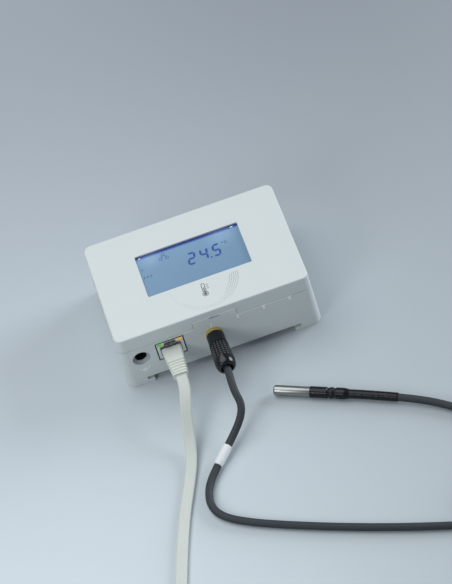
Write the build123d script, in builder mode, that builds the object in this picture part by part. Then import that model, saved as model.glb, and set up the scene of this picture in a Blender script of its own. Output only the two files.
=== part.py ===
from build123d import *
import os
from math import atan, atan2, cos, degrees, pi, radians, sin, sqrt, tan

os.makedirs("parts", exist_ok=True)

# Ethernet temperature sensor, in millimetres. The box lies on its back.
# X runs along its width, Y up its face, Z out of its display.
# The connectors look along -Y, and the origin is the middle of the back.

# Housing
face_width = 111.2
face_height = 74.2
depth = 39.0
side_lean = 1.1
face_corner = 4.0
face_edge = 0.7
wall = 2.2
face_wall = 2.4
cover_height = 9.7
seam_gap = 0.25
lap_height = 1.6
lap_gap = 0.15

# Release tab of the base, and the screwdriver notch in its top edge
tab_width = 25.0
tab_rise = 5.2
tab_gap = 0.15
notch_width = 5.6
notch_depth = 1.6

# Undercut slide channel in the back
channel_inset = 14.6
channel_depth = 4.7
lip_thickness = 2.4
undercut = 3.8
channel_stop = 9.0

# Display
window_width = 60.0
window_height = 31.0
window_lift = 2.2
window_corner = 0.6
window_lip = 1.1
glass_margin = 3.0
glass_thickness = 2.2
light_thickness = 4.3
stack_gap = 0.1
frame_wall = 1.6
frame_gap = 0.15

# Circuit boards and their screws
board_thickness = 1.6
board_front_gap = 0.8
board_side_gap = 4.0
board_rear_gap = 6.0
post_radius = 3.0
post_front_inset = 25.1
post_rear_inset = 6.9
boss_gap = 1.0
board_margin = 1.2
screw_radius = 1.1
screw_gap = 0.1
screw_tip_gap = 1.3
screw_head_radius = 2.2
screw_head_height = 1.5

# The posts' share of the free height between the floor and the display board
post_share = 0.74

# Parts on the main board: x from the connector they serve, the display's bosses or the
# board's end, y from the board's front or rear edge
processor_side = 14.0
processor_from_end = 31.4
processor_from_front = 29.6
network_chip_side = 10.0
network_chip_from_jack = 3.3
network_chip_from_front = 29.1
chip_height = 1.4
lead_reach = 1.0
lead_width = 0.45
lead_height = 0.6
leads_per_side = 9
crystal_length = 11.0
crystal_width = 4.6
crystal_height = 3.5
crystal_from_jack = 27.3
crystal_from_front = 44.6
capacitor_radius = 4.0
capacitor_height = 10.0
capacitor_from_power = 8.5
capacitor_from_front = 40.1
capacitor_pitch = 10.0
inductor_side = 8.0
inductor_height = 4.2
inductor_from_jack = 11.3
inductor_from_front = 46.1
header_from_boss = 19.0
header_from_rear = 8.9
header_pitch = 2.54
header_columns = 8
header_rows = 2
header_socket_height = 8.5
header_strip_height = 2.5
pin_side = 0.64
pin_gap = 0.13
pin_reach = 5.0

# Network jack
jack_from_power = 17.2
jack_width = 16.0
jack_height = 13.5
jack_length = 21.0
jack_gap = 0.25
sheet = 0.4
jack_floor = 1.9
jack_back = 2.5
keyway_height = 2.9
light_width = 2.8
light_height = 1.7
light_length = 5.0
light_edge = 0.5
contact_pitch = 1.02
contact_count = 8
spring_width = 0.46
spring_depth = 0.35
spring_length = 9.0

# Network plug and its moulded boot
plug_width = 11.68
plug_height = 6.6
plug_length = 17.5
plug_gap = 0.15
plug_out = 0.8
plug_chamfer = 0.5
latch_width = 6.2
latch_rise = 1.6
latch_thickness = 1.1
latch_out = 0.7
blade_width = 0.5
blade_length = 5.0
blade_depth = 1.5
boot_length = 19.2
boot_front_width = 11.4
boot_front_height = 7.0
boot_end_width = 8.6
boot_end_height = 5.0
boot_corner = 1.2
boot_groove_count = 5
boot_groove_first = 10.2
boot_groove_pitch = 1.85
boot_groove_width = 0.6
boot_groove_depth = 0.5

# Power jack
power_inset = 11.1
power_rise = 6.5
power_mouth_radius = 5.1
power_hole_radius = 3.4
power_mouth_depth = 1.9
power_width = 9.0
power_height = 11.0
power_length = 14.4
power_gap = 0.3
power_bore_radius = 3.2
power_bore_depth = 9.5
power_pin_radius = 1.0
power_pin_short = 3.5

# Probe socket
socket_from_jack = 24.7
socket_rise = 6.6
socket_radius = 4.0
socket_gap = 0.1
socket_ring_radius = 4.9
socket_ring_out = 2.0
socket_length = 13.0
socket_bore_radius = 3.3
socket_bore_depth = 9.0
socket_nut_across = 12.0
socket_nut_height = 2.5
socket_foot_width = 8.0
socket_foot_length = 6.0
contact_circle = 1.5
contact_radius = 0.4
contact_reach = 5.0

# Probe plug
sleeve_radius = 5.05
sleeve_length = 7.3
grip_front_radius = 5.25
grip_rear_radius = 5.7
grip_length = 12.4
grip_shoulder = 4.6
grip_mouth_radius = 4.3
grip_bore_radius = 3.4
grip_bore_depth = 5.0
plug_core_radius = 3.0
plug_core_gap = 0.15

# Probe cable, its marker and the probe
cable_radius = 2.1
cable_gap = 0.1
marker_radius = 2.65
marker_length = 11.5
stem_radius = 2.85
stem_length = 40.0
stem_tip_edge = 1.2
probe_length = 68.8
sleeve_start = 19.8
sleeve_wall = 0.2
sleeve_thin_wall = 0.32
crimp_start = 29.0
crimp_length = 2.2
crimp_depth = 0.12
sleeve_taper = 3.0
probe_tip = (17.5, -74.7)
probe_end_way = (0.885, -0.466)

# Probe cable route: from the plug to the coil, and from the coil to the probe.
# The marker sleeve lies on the run after the first points that are counted here.
points_before_marker_count = 2
cable_points = [
    (-2.3, -79.5, 17.8),
    (-3.0, -90.0, 11.3),
    (-12.6, -97.6, 5.4),
    (-27.8, -113.2, 2.75),
    (-34.0, -122.6, 2.3),
    (-35.8, -133.5, 2.15),
    (-31.5, -142.5, 2.15),
    (-20.0, -151.0, 2.15),
    (-2.5, -160.5, 2.15),
    (22.0, -172.5, 2.15),
    (52.0, -185.8, 2.15),
    (86.5, -199.2, 2.15),
    (122.0, -210.1, 2.15),
]
cable_lead = 6.5
tail_points = [
    (145.2, -162.4, 5.85),
    (127.0, -146.0, 3.4),
    (109.0, -129.6, 2.2),
    (86.5, -111.0, 3.15),
]
cable_coil_centre = (127.5, -182.0)
cable_coil_outer = 30.8
cable_coil_inner = 17.6
cable_coil_height = 8.0

# Flat network cable: its section and route, its coil and the curl inside the coil
flat_width = 6.4
flat_thickness = 2.2
flat_corner = 0.9
flat_lift = 0.1
flat_lead = 7.6
flat_points = [
    (-30.4, -74.5, 16.2),
    (-32.7, -82.5, 10.2),
    (-34.5, -90.5, 5.4),
    (-37.4, -101.5, 2.1),
    (-42.4, -114.5, 1.2),
    (-50.0, -132.0, 1.2),
    (-57.0, -152.0, 1.2),
    (-65.0, -178.0, 1.2),
    (-73.0, -209.0, 1.2),
]
flat_coil_entry = (-78.6, -236.4)
flat_coil_way = 258.5
flat_coil_outer = 44.5
flat_coil_pitch = 2.8
flat_coil_inner = 36.0
flat_curl_radius = 16.0
flat_curl_steps = 5
flat_curl_lead = 4.0
flat_stub = 21.0

# Ties round the coils
tie_thickness = 0.6
tie_width = 5.0
cable_tie_angle = 300.0
flat_tie_angle = 20.0

# Heights and places worked out from the sizes above
power_x = power_inset - face_width / 2
jack_x = power_x + jack_from_power
socket_x = jack_x + socket_from_jack
split_height = depth - cover_height
channel_width = face_width - 2 * channel_inset
lean_angle = degrees(atan(side_lean / depth))
back_half = face_height / 2 + side_lean
wall_cut = wall + 2 * side_lean
cavity_floor = channel_depth + wall
glass_width = window_width + 2 * glass_margin
glass_height = window_height + 2 * glass_margin
glass_top = depth - window_lip - stack_gap
frame_top = depth - face_wall - stack_gap
glass_low = glass_top - glass_thickness
display_board_top = glass_low - light_thickness
display_board_low = display_board_top - board_thickness
frame_width = glass_width + 2 * (frame_gap + frame_wall)
frame_height = glass_height + 2 * (frame_gap + frame_wall)
boss_span_x = frame_width + 2 * (post_radius + boss_gap)
boss_span_y = frame_height - 2 * post_radius
free_height = display_board_low - jack_height - board_thickness - cavity_floor
post_height = post_share * free_height
board_low = cavity_floor + post_height
board_top = board_low + board_thickness
post_bite = post_height - screw_tip_gap
boss_bite = depth - face_wall - display_board_top - screw_tip_gap
board_half_x = face_width / 2 - wall - board_side_gap
board_front = face_height / 2 - wall - board_front_gap
board_rear = face_height / 2 - wall - board_rear_gap
post_x = board_half_x - post_radius - board_margin
processor_place = (board_half_x - processor_from_end, processor_from_front - board_front)
network_chip_place = (jack_x + network_chip_from_jack, network_chip_from_front - board_front)
crystal_place = (jack_x + crystal_from_jack, crystal_from_front - board_front)
capacitor_place = (power_x + capacitor_from_power, capacitor_from_front - board_front)
inductor_place = (jack_x + inductor_from_jack, inductor_from_front - board_front)
header_place = (boss_span_x / 2 - header_from_boss, board_rear - header_from_rear)
jack_z = board_top + jack_height / 2
power_z = board_top + power_rise
socket_z = board_top + socket_rise
plug_z = board_top + sheet + jack_floor + plug_gap + plug_height / 2
power_mouth_angle = degrees(atan((power_mouth_radius - power_hole_radius) / power_mouth_depth))


def lean(z):
    """How far a side stands out from the face's edge at a height."""
    return side_lean * (1 - z / depth)


def wall_out(z):
    """Distance of the connector side's outer surface from the middle, at a height."""
    return face_height / 2 + lean(z)


jack_front = wall_out(board_top + jack_height)
insert_front = jack_front - sheet
boot_plane = jack_front + plug_out
boot_end = boot_plane + boot_length
power_front = wall_out(board_top + power_height) - wall - power_gap
socket_seat = wall_out(socket_z)
socket_front = socket_seat + socket_ring_out
socket_rear = socket_seat - socket_length
grip_front = socket_front + sleeve_length
grip_rear = grip_front + grip_length + grip_shoulder
gland_face = grip_rear - grip_bore_depth


def save(piece, name):
    """Label a finished piece and write it to its own file."""
    piece.part.label = name
    export_step(piece.part, f"parts/{name}.step")


def housing_block(low, high, inset, mode=Mode.ADD):
    """Drafted round-cornered block of the housing, drawn in by inset."""
    out = lean(low) - inset
    with BuildSketch(Plane.XY.offset(low)) as outline:
        RectangleRounded(face_width + 2 * out, face_height + 2 * out, face_corner + out)
    extrude(outline.sketch, amount=high - low, taper=lean_angle, mode=mode)


def slab(width, height, low, high, place=(0, 0), mode=Mode.ADD):
    """Rectangular plate between two heights."""
    with BuildSketch(Plane.XY.offset(low)) as outline:
        with Locations(place):
            Rectangle(width, height)
    extrude(outline.sketch, amount=high - low, mode=mode)


def display_bosses():
    """Places of the four display screws."""
    return [
        (x * boss_span_x / 2, window_lift + y * boss_span_y / 2)
        for x in (-1, 1)
        for y in (-1, 1)
    ]


def board_posts():
    """Places of the four main board screws."""
    return [
        (x * post_x, y)
        for x in (-1, 1)
        for y in (post_front_inset - board_front, board_rear - post_rear_inset)
    ]


def connector_openings():
    """Cut the connectors' openings through the wall of a shell."""
    with BuildSketch(Plane.XZ.offset(back_half)) as openings:
        with Locations((jack_x, jack_z)):
            Rectangle(jack_width + 2 * jack_gap, jack_height + 2 * jack_gap)
        with Locations((power_x, power_z)):
            Circle(power_hole_radius)
        with Locations((socket_x, socket_z)):
            Circle(socket_radius + socket_gap)
    extrude(openings.sketch, amount=-wall_cut, mode=Mode.SUBTRACT)


# Front cover, with a pocket for the glass under the window's thin lip
with BuildPart() as front_cover:
    housing_block(split_height + seam_gap, depth, 0)
    fillet(front_cover.faces().sort_by(Axis.Z)[-1].edges(), radius=face_edge)
    housing_block(split_height, depth - face_wall, wall, Mode.SUBTRACT)
    housing_block(split_height, split_height + lap_height + lap_gap, wall / 2, Mode.SUBTRACT)
    with BuildSketch(Plane.XY.offset(depth)):
        with Locations((0, window_lift)):
            RectangleRounded(window_width, window_height, window_corner)
    extrude(amount=-face_wall, mode=Mode.SUBTRACT)
    slab(
        glass_width + 2 * frame_gap,
        glass_height + 2 * frame_gap,
        depth - face_wall,
        depth - window_lip,
        (0, window_lift),
        Mode.SUBTRACT,
    )
    with BuildSketch(Plane.XY.offset(display_board_top)):
        with Locations(*display_bosses()):
            Circle(post_radius)
            Circle(screw_radius + screw_gap, mode=Mode.SUBTRACT)
    extrude(amount=depth - face_wall - display_board_top)
    with BuildSketch(Plane.XZ.offset(back_half)):
        with Locations((0, split_height + (tab_rise + tab_gap) / 2)):
            Rectangle(tab_width + 2 * tab_gap, tab_rise + tab_gap)
    extrude(amount=-wall_cut, mode=Mode.SUBTRACT)
    connector_openings()
save(front_cover, "front_cover")

# Release tab, cut from the same drafted wall as the base
with BuildPart() as release_tab:
    housing_block(split_height, split_height + tab_rise, 0)
    housing_block(split_height, split_height + tab_rise, wall, Mode.SUBTRACT)
    with BuildSketch(Plane.XZ.offset(back_half)):
        with Locations((0, split_height + tab_rise / 2)):
            Rectangle(tab_width, tab_rise)
        with Locations((0, split_height + tab_rise - notch_depth / 2)):
            Rectangle(notch_width, notch_depth, mode=Mode.SUBTRACT)
    extrude(amount=-wall_cut, mode=Mode.INTERSECT)

# Rear base
foot_inner = channel_width / 2 + undercut + wall
foot_outer = face_width / 2 + lean(cavity_floor) - wall
with BuildPart() as rear_base:
    housing_block(0, split_height, 0)
    housing_block(split_height, split_height + lap_height, wall / 2 + lap_gap)
    with BuildSketch(Plane.XZ.offset(back_half)):
        with Locations((0, split_height + tab_rise / 2)):
            Rectangle(tab_width + 4 * tab_gap, tab_rise)
    extrude(amount=-wall_cut, mode=Mode.SUBTRACT)
    add(release_tab.part)
    housing_block(cavity_floor, split_height + tab_rise, wall, Mode.SUBTRACT)
    with BuildSketch(Plane.XY.offset(cavity_floor)):
        with GridLocations(foot_inner + foot_outer, 0, 2, 1):
            Rectangle(foot_outer - foot_inner, face_height - 2 * (wall + face_corner))
    extrude(amount=wall - cavity_floor, mode=Mode.SUBTRACT)
    with BuildSketch(Plane.XZ.offset(back_half)):
        with Locations((0, channel_depth / 2)):
            Rectangle(channel_width, channel_depth)
        with Locations((0, (channel_depth + lip_thickness) / 2)):
            Rectangle(channel_width + 2 * undercut, channel_depth - lip_thickness)
    extrude(amount=channel_stop - 2 * back_half, mode=Mode.SUBTRACT)
    with BuildSketch(Plane.XY.offset(cavity_floor)):
        with Locations(*board_posts()):
            Circle(post_radius)
            Circle(screw_radius + screw_gap, mode=Mode.SUBTRACT)
    extrude(amount=post_height)
    connector_openings()
    with BuildSketch(Plane.XZ.offset(wall_out(power_z) + power_mouth_depth)):
        with Locations((power_x, power_z)):
            Circle(2 * power_mouth_radius - power_hole_radius)
    extrude(amount=-2 * power_mouth_depth, taper=power_mouth_angle, mode=Mode.SUBTRACT)
save(rear_base, "rear_base")

# Display glass
with BuildPart() as display_glass:
    slab(glass_width, glass_height, glass_low, glass_top, (0, window_lift))
save(display_glass, "display_glass")

# Backlight plate under the glass
with BuildPart() as display_backlight:
    slab(glass_width, glass_height, display_board_top, glass_low, (0, window_lift))
save(display_backlight, "display_backlight")

# Frame round the glass and the backlight
with BuildPart() as display_frame:
    slab(frame_width, frame_height, display_board_top, frame_top, (0, window_lift))
    slab(
        glass_width + 2 * frame_gap,
        glass_height + 2 * frame_gap,
        display_board_top,
        frame_top,
        (0, window_lift),
        Mode.SUBTRACT,
    )
save(display_frame, "display_frame")

# Display board, screwed to the cover's bosses
with BuildPart() as display_board:
    slab(
        boss_span_x + 2 * (post_radius + board_margin),
        frame_height + 2 * board_margin,
        display_board_low,
        display_board_top,
        (0, window_lift),
    )
    with Locations(*[(x, y, display_board_top) for x, y in display_bosses()]):
        Hole(screw_radius + screw_gap, board_thickness)
save(display_board, "display_board")

# Display screws, heads under the board
with BuildPart() as display_screws:
    with BuildSketch(Plane.XY.offset(display_board_low)):
        with Locations(*display_bosses()):
            Circle(screw_head_radius)
    extrude(amount=-screw_head_height)
    with BuildSketch(Plane.XY.offset(display_board_low)):
        with Locations(*display_bosses()):
            Circle(screw_radius)
    extrude(amount=board_thickness + boss_bite)
save(display_screws, "display_screws")

# Main board
with BuildPart() as main_board:
    slab(
        2 * board_half_x,
        board_front + board_rear,
        board_low,
        board_top,
        (0, (board_rear - board_front) / 2),
    )
    with Locations(*[(x, y, board_top) for x, y in board_posts()]):
        Hole(screw_radius + screw_gap, board_thickness)
save(main_board, "main_board")

# Main board screws, heads on top
with BuildPart() as board_screws:
    with BuildSketch(Plane.XY.offset(board_top)):
        with Locations(*board_posts()):
            Circle(screw_head_radius)
    extrude(amount=screw_head_height)
    with BuildSketch(Plane.XY.offset(board_top)):
        with Locations(*board_posts()):
            Circle(screw_radius)
    extrude(amount=-(board_thickness + post_bite))
save(board_screws, "board_screws")


def flat_chip(side, place):
    """Square chip with a row of leads along each side, standing on the board."""
    lead_pitch = side / (leads_per_side + 1)
    with BuildPart() as chip:
        slab(side, side, board_top + lead_height / 2, board_top + lead_height / 2 + chip_height, place)
        with BuildSketch(Plane.XY.offset(board_top)):
            with Locations(place):
                with GridLocations(lead_pitch, side + lead_reach, leads_per_side, 2):
                    Rectangle(lead_width, lead_reach)
                with GridLocations(side + lead_reach, lead_pitch, 2, leads_per_side):
                    Rectangle(lead_reach, lead_width)
        extrude(amount=lead_height)
    return chip


save(flat_chip(processor_side, processor_place), "processor_chip")
save(flat_chip(network_chip_side, network_chip_place), "network_chip")

# Crystal in its metal can
with BuildPart() as crystal_can:
    with BuildSketch(Plane.XY.offset(board_top)):
        with Locations(crystal_place):
            SlotOverall(crystal_length, crystal_width)
    extrude(amount=crystal_height)
save(crystal_can, "crystal_can")

# Filter capacitors
with BuildPart() as filter_capacitors:
    with BuildSketch(Plane.XY.offset(board_top)):
        with Locations(capacitor_place):
            with GridLocations(0, capacitor_pitch, 1, 2):
                Circle(capacitor_radius)
    extrude(amount=capacitor_height)
save(filter_capacitors, "filter_capacitors")

# Power inductor
with BuildPart() as power_inductor:
    slab(inductor_side, inductor_side, board_top, board_top + inductor_height, inductor_place)
    chamfer(power_inductor.edges().filter_by(Axis.Z), length=inductor_side / 6)
save(power_inductor, "power_inductor")

# Header socket on the main board
header_length = header_columns * header_pitch
header_depth = header_rows * header_pitch
header_socket_top = board_top + header_socket_height
with BuildPart() as header_socket:
    slab(header_length, header_depth, board_top, header_socket_top, header_place)
    with BuildSketch(Plane.XY.offset(header_socket_top)):
        with Locations(header_place):
            with GridLocations(header_pitch, header_pitch, header_columns, header_rows):
                Rectangle(pin_side + 2 * pin_gap, pin_side + 2 * pin_gap)
    extrude(amount=-pin_reach, mode=Mode.SUBTRACT)
save(header_socket, "header_socket")

# Header strip under the display board, its pins reaching the bottom of the socket's holes
with BuildPart() as header_pins:
    slab(
        header_length,
        header_depth,
        display_board_low - header_strip_height,
        display_board_low,
        header_place,
    )
    with BuildSketch(Plane.XY.offset(display_board_low - header_strip_height)):
        with Locations(header_place):
            with GridLocations(header_pitch, header_pitch, header_columns, header_rows):
                Rectangle(pin_side, pin_side)
    extrude(amount=header_socket_top - pin_reach - display_board_low + header_strip_height)
save(header_pins, "header_pins")

light_side = jack_width / 2 - sheet - light_edge - light_width / 2
light_z = board_top + jack_height - sheet - light_edge - light_height / 2
plug_cavity = plug_length - plug_out + plug_gap - sheet


def plug_opening():
    """Outline of the plug's way in, with the keyway of its latch."""
    with Locations((jack_x, plug_z)):
        Rectangle(plug_width + 2 * plug_gap, plug_height + 2 * plug_gap)
    with Locations((jack_x, plug_z + plug_height / 2 + keyway_height / 2)):
        Rectangle(latch_width + 2 * plug_gap, keyway_height)


def light_windows():
    """Outlines of the two light pipes."""
    with Locations((jack_x, light_z)):
        with GridLocations(2 * light_side, 0, 2, 1):
            Rectangle(light_width, light_height)


# Shield of the network jack: a sheet metal box, its front cut out for the plug and the lights
with BuildPart() as network_jack_shield:
    with BuildSketch(Plane.XZ.offset(jack_front)):
        with Locations((jack_x, jack_z)):
            Rectangle(jack_width, jack_height)
    extrude(amount=-jack_length)
    with BuildSketch(Plane.XZ.offset(insert_front)):
        with Locations((jack_x, jack_z)):
            Rectangle(jack_width - 2 * sheet, jack_height - 2 * sheet)
    extrude(amount=2 * sheet - jack_length, mode=Mode.SUBTRACT)
    with BuildSketch(Plane.XZ.offset(jack_front)):
        plug_opening()
        light_windows()
    extrude(amount=-sheet, mode=Mode.SUBTRACT)
save(network_jack_shield, "network_jack_shield")

# Moulded insert of the network jack
spring_low = plug_z - plug_height / 2 - plug_gap - spring_depth
with BuildPart() as network_jack_insert:
    with BuildSketch(Plane.XZ.offset(insert_front)):
        with Locations((jack_x, jack_z)):
            Rectangle(jack_width - 2 * sheet, jack_height - 2 * sheet)
    extrude(amount=2 * sheet - jack_length)
    with BuildSketch(Plane.XZ.offset(insert_front)):
        plug_opening()
    extrude(amount=-plug_cavity, mode=Mode.SUBTRACT)
    with BuildSketch(Plane.XZ.offset(insert_front)):
        light_windows()
    extrude(amount=-light_length, mode=Mode.SUBTRACT)
    with BuildSketch(Plane.XZ.offset(insert_front - plug_cavity + spring_length)):
        with Locations((jack_x, spring_low + spring_depth / 2)):
            with GridLocations(contact_pitch, 0, contact_count, 1):
                Rectangle(spring_width, spring_depth)
    extrude(amount=-spring_length, mode=Mode.SUBTRACT)
save(network_jack_insert, "network_jack_insert")

# Spring contacts in the floor of the jack
with BuildPart() as network_jack_contacts:
    with BuildSketch(Plane.XZ.offset(insert_front - plug_cavity + spring_length)):
        with Locations((jack_x, spring_low + spring_depth / 2)):
            with GridLocations(contact_pitch, 0, contact_count, 1):
                Rectangle(spring_width, spring_depth)
    extrude(amount=-spring_length)
save(network_jack_contacts, "network_jack_contacts")


def jack_light(side):
    """Light pipe in a top corner of the network jack."""
    with BuildPart() as light:
        with BuildSketch(Plane.XZ.offset(jack_front)):
            with Locations((jack_x + side * light_side, light_z)):
                Rectangle(light_width, light_height)
        extrude(amount=-(light_length + sheet))
    return light


save(jack_light(-1), "link_light")
save(jack_light(1), "activity_light")

# Power jack: a block on the board, close behind the countersunk hole in the wall
with BuildPart() as power_jack_body:
    with BuildSketch(Plane.XZ.offset(power_front)):
        with Locations((power_x, board_top + power_height / 2)):
            Rectangle(power_width, power_height)
    extrude(amount=-power_length)
    with BuildSketch(Plane.XZ.offset(power_front)):
        with Locations((power_x, power_z)):
            Circle(power_bore_radius)
    extrude(amount=-power_bore_depth, mode=Mode.SUBTRACT)
save(power_jack_body, "power_jack_body")

# Centre pin of the power jack
with BuildPart() as power_jack_pin:
    with BuildSketch(Plane.XZ.offset(power_front - power_bore_depth)):
        with Locations((power_x, power_z)):
            Circle(power_pin_radius)
    extrude(amount=power_bore_depth - power_pin_short)
    pin_tip = power_jack_pin.faces().sort_by(Axis.Y)[0]
    fillet(pin_tip.edges(), radius=power_pin_radius / 2)
save(power_jack_pin, "power_jack_pin")

# Brass shell of the probe socket, its ring seated on the sloping wall
with BuildPart() as probe_socket_shell:
    with BuildSketch(Plane.XZ.offset(socket_front)):
        with Locations((socket_x, socket_z)):
            Circle(socket_ring_radius)
    extrude(amount=-(socket_ring_out + side_lean))
    housing_block(0, depth, 0, Mode.SUBTRACT)
    with BuildSketch(Plane.XZ.offset(socket_front)):
        with Locations((socket_x, socket_z)):
            Circle(socket_radius)
    extrude(amount=socket_rear - socket_front)
    with BuildSketch(Plane.XZ.offset(socket_front)):
        with Locations((socket_x, socket_z)):
            Circle(socket_bore_radius)
    extrude(amount=socket_rear - socket_front, mode=Mode.SUBTRACT)
save(probe_socket_shell, "probe_socket_shell")

# Nut that holds the socket from inside the wall
nut_front = wall_out(socket_z + socket_nut_across / 2) - wall
with BuildPart() as probe_socket_nut:
    with BuildSketch(Plane.XZ.offset(nut_front)):
        with Locations((socket_x, socket_z)):
            RegularPolygon(socket_nut_across / 2, 6, major_radius=False)
            Circle(socket_radius + socket_gap, mode=Mode.SUBTRACT)
    extrude(amount=-socket_nut_height)
save(probe_socket_nut, "probe_socket_nut")

# Contact carrier of the socket, with a foot on the board
carrier_front = socket_front - socket_bore_depth
with BuildPart() as probe_socket_insert:
    with BuildSketch(Plane.XZ.offset(carrier_front)):
        with Locations((socket_x, socket_z)):
            Circle(socket_bore_radius - socket_gap / 2)
    extrude(amount=socket_rear - carrier_front)
    with BuildSketch(Plane.XZ.offset(socket_rear)):
        with Locations((socket_x, (board_top + socket_z + socket_radius) / 2)):
            Rectangle(socket_foot_width, socket_z + socket_radius - board_top)
    extrude(amount=-socket_foot_length)
    with BuildSketch(Plane.XZ.offset(carrier_front)):
        with Locations((socket_x, socket_z)):
            with PolarLocations(contact_circle, 4, start_angle=45):
                Circle(contact_radius)
    extrude(amount=-contact_reach, mode=Mode.SUBTRACT)
save(probe_socket_insert, "probe_socket_insert")

# Contact pins of the socket
with BuildPart() as probe_socket_pins:
    with BuildSketch(Plane.XZ.offset(carrier_front + contact_reach)):
        with Locations((socket_x, socket_z)):
            with PolarLocations(contact_circle, 4, start_angle=45):
                Circle(contact_radius)
    extrude(amount=-2 * contact_reach)
save(probe_socket_pins, "probe_socket_pins")

# Front sleeve of the probe plug
with BuildPart() as probe_plug_sleeve:
    with BuildSketch(Plane.XZ.offset(socket_front)):
        with Locations((socket_x, socket_z)):
            Circle(sleeve_radius)
            Circle(plug_core_radius, mode=Mode.SUBTRACT)
    extrude(amount=sleeve_length)
    fillet(probe_plug_sleeve.faces().sort_by(Axis.Y)[-1].outer_wire().edges(), radius=sheet)
save(probe_plug_sleeve, "probe_plug_sleeve")

# Grip of the probe plug: a flared body with a rounded shoulder and an open rear
grip_axis = Plane(origin=(socket_x, -grip_front, socket_z), x_dir=(0, -1, 0), z_dir=(1, 0, 0))
shoulder_start = (grip_length, grip_rear_radius)
shoulder_end = (grip_length + grip_shoulder, grip_mouth_radius)
with BuildPart() as probe_plug_grip:
    with BuildSketch(grip_axis):
        with BuildLine():
            Line((0, 0), (0, grip_front_radius))
            Line((0, grip_front_radius), shoulder_start)
            TangentArc(shoulder_start, shoulder_end, tangent=(1, 0))
            Line(shoulder_end, (shoulder_end[0], grip_bore_radius))
            Line((shoulder_end[0], grip_bore_radius), (shoulder_end[0] - grip_bore_depth, grip_bore_radius))
            Line(
                (shoulder_end[0] - grip_bore_depth, grip_bore_radius),
                (shoulder_end[0] - grip_bore_depth, 0),
            )
            Line((shoulder_end[0] - grip_bore_depth, 0), (0, 0))
        make_face()
    revolve(axis=Axis((socket_x, -grip_front, socket_z), (0, 1, 0)))
save(probe_plug_grip, "probe_plug_grip")

# Contact core of the probe plug, reaching into the socket
core_front = carrier_front + plug_core_gap
with BuildPart() as probe_plug_insert:
    with BuildSketch(Plane.XZ.offset(grip_front)):
        with Locations((socket_x, socket_z)):
            Circle(plug_core_radius)
    extrude(amount=core_front - grip_front)
    with BuildSketch(Plane.XZ.offset(core_front)):
        with Locations((socket_x, socket_z)):
            with PolarLocations(contact_circle, 4, start_angle=45):
                Circle(contact_radius + plug_core_gap)
    extrude(amount=contact_reach + plug_core_gap, mode=Mode.SUBTRACT)
save(probe_plug_insert, "probe_plug_insert")

# Clamp ring round the cable in the rear of the grip
with BuildPart() as probe_plug_gland:
    with BuildSketch(Plane.XZ.offset(gland_face)):
        with Locations((socket_x, socket_z)):
            Circle(grip_bore_radius)
            Circle(cable_radius + cable_gap, mode=Mode.SUBTRACT)
    extrude(amount=grip_bore_depth / 2)
save(probe_plug_gland, "probe_plug_gland")


def bend_radii(points):
    """Radius of the arc at each inner point of a route, as large as its runs allow."""
    radii = []
    for before, here, after in zip(points, points[1:], points[2:]):
        run_in = Vector(*here) - Vector(*before)
        run_out = Vector(*after) - Vector(*here)
        half_turn = radians(run_in.get_angle(run_out)) / 2
        radii.append(0.45 * min(run_in.length, run_out.length) / tan(half_turn))
    return radii


def report_cord(name, tube, area, path, radii):
    """Print a cord's length, its bends and its volume against section times length."""
    length = path.wire().length
    share = tube.part.volume / (area * length)
    bends = ", ".join(f"{radius:.0f}" for radius in radii)
    print(f"{name}: length {length:.1f}, volume share {share:.4f}, radii {bends}")


def round_cord(name, points):
    """Round cable along a route of straight runs and tangent arcs."""
    radii = bend_radii(points)
    with BuildPart() as tube:
        with BuildLine() as path:
            FilletPolyline(*points, radius=radii)
        with BuildSketch(Plane(origin=path.line @ 0, z_dir=path.line % 0)):
            Circle(cable_radius)
        sweep()
    report_cord(name, tube, pi * cable_radius**2, path, radii)
    return tube


def flat_cord(name, points, across):
    """Flat cable along a route, its width lying along the given direction at the start."""
    radii = bend_radii(points)
    with BuildPart() as ribbon:
        with BuildLine() as path:
            FilletPolyline(*points, radius=radii)
        with BuildSketch(Plane(origin=path.line @ 0, x_dir=across, z_dir=path.line % 0)) as section:
            RectangleRounded(flat_width, flat_thickness, flat_corner)
        sweep()
    report_cord(name, ribbon, section.sketch.area, path, radii)
    return ribbon


def ring_at(centre, angle, radius, low):
    """Plane across a coil's turns at an angle: x outwards, y up."""
    way = radians(angle)
    out = (cos(way), sin(way), 0)
    place = (centre[0] + radius * cos(way), centre[1] + radius * sin(way), low)
    return Plane(origin=place, x_dir=out, z_dir=(out[1], -out[0], 0))


def coil_tie(centre, angle, inner, outer, height):
    """Band round all the turns of a coil, its lowest side let into the turns."""
    inside = sqrt(inner**2 - (tie_width / 2) ** 2)
    band = outer - inside + 2 * tie_thickness
    with BuildPart() as tie:
        with BuildSketch(ring_at(centre, angle, (inside + outer) / 2, 0)):
            with Locations((0, (height + tie_thickness) / 2)):
                Rectangle(band, height + tie_thickness)
                Rectangle(outer - inside, height - tie_thickness, mode=Mode.SUBTRACT)
        extrude(amount=tie_width / 2, both=True)
    return tie


# Tie and coil of the probe cable, both ends leaving the outside of the turns
probe_cable_tie = coil_tie(
    cable_coil_centre, cable_tie_angle, cable_coil_inner, cable_coil_outer, cable_coil_height
)
save(probe_cable_tie, "probe_cable_tie")

with BuildPart() as probe_cable_coil:
    with BuildSketch():
        with Locations(cable_coil_centre):
            Circle(cable_coil_outer)
            Circle(cable_coil_inner, mode=Mode.SUBTRACT)
    extrude(amount=cable_coil_height)
    add(probe_cable_tie.part, mode=Mode.SUBTRACT)
save(probe_cable_coil, "probe_cable_coil")

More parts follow.
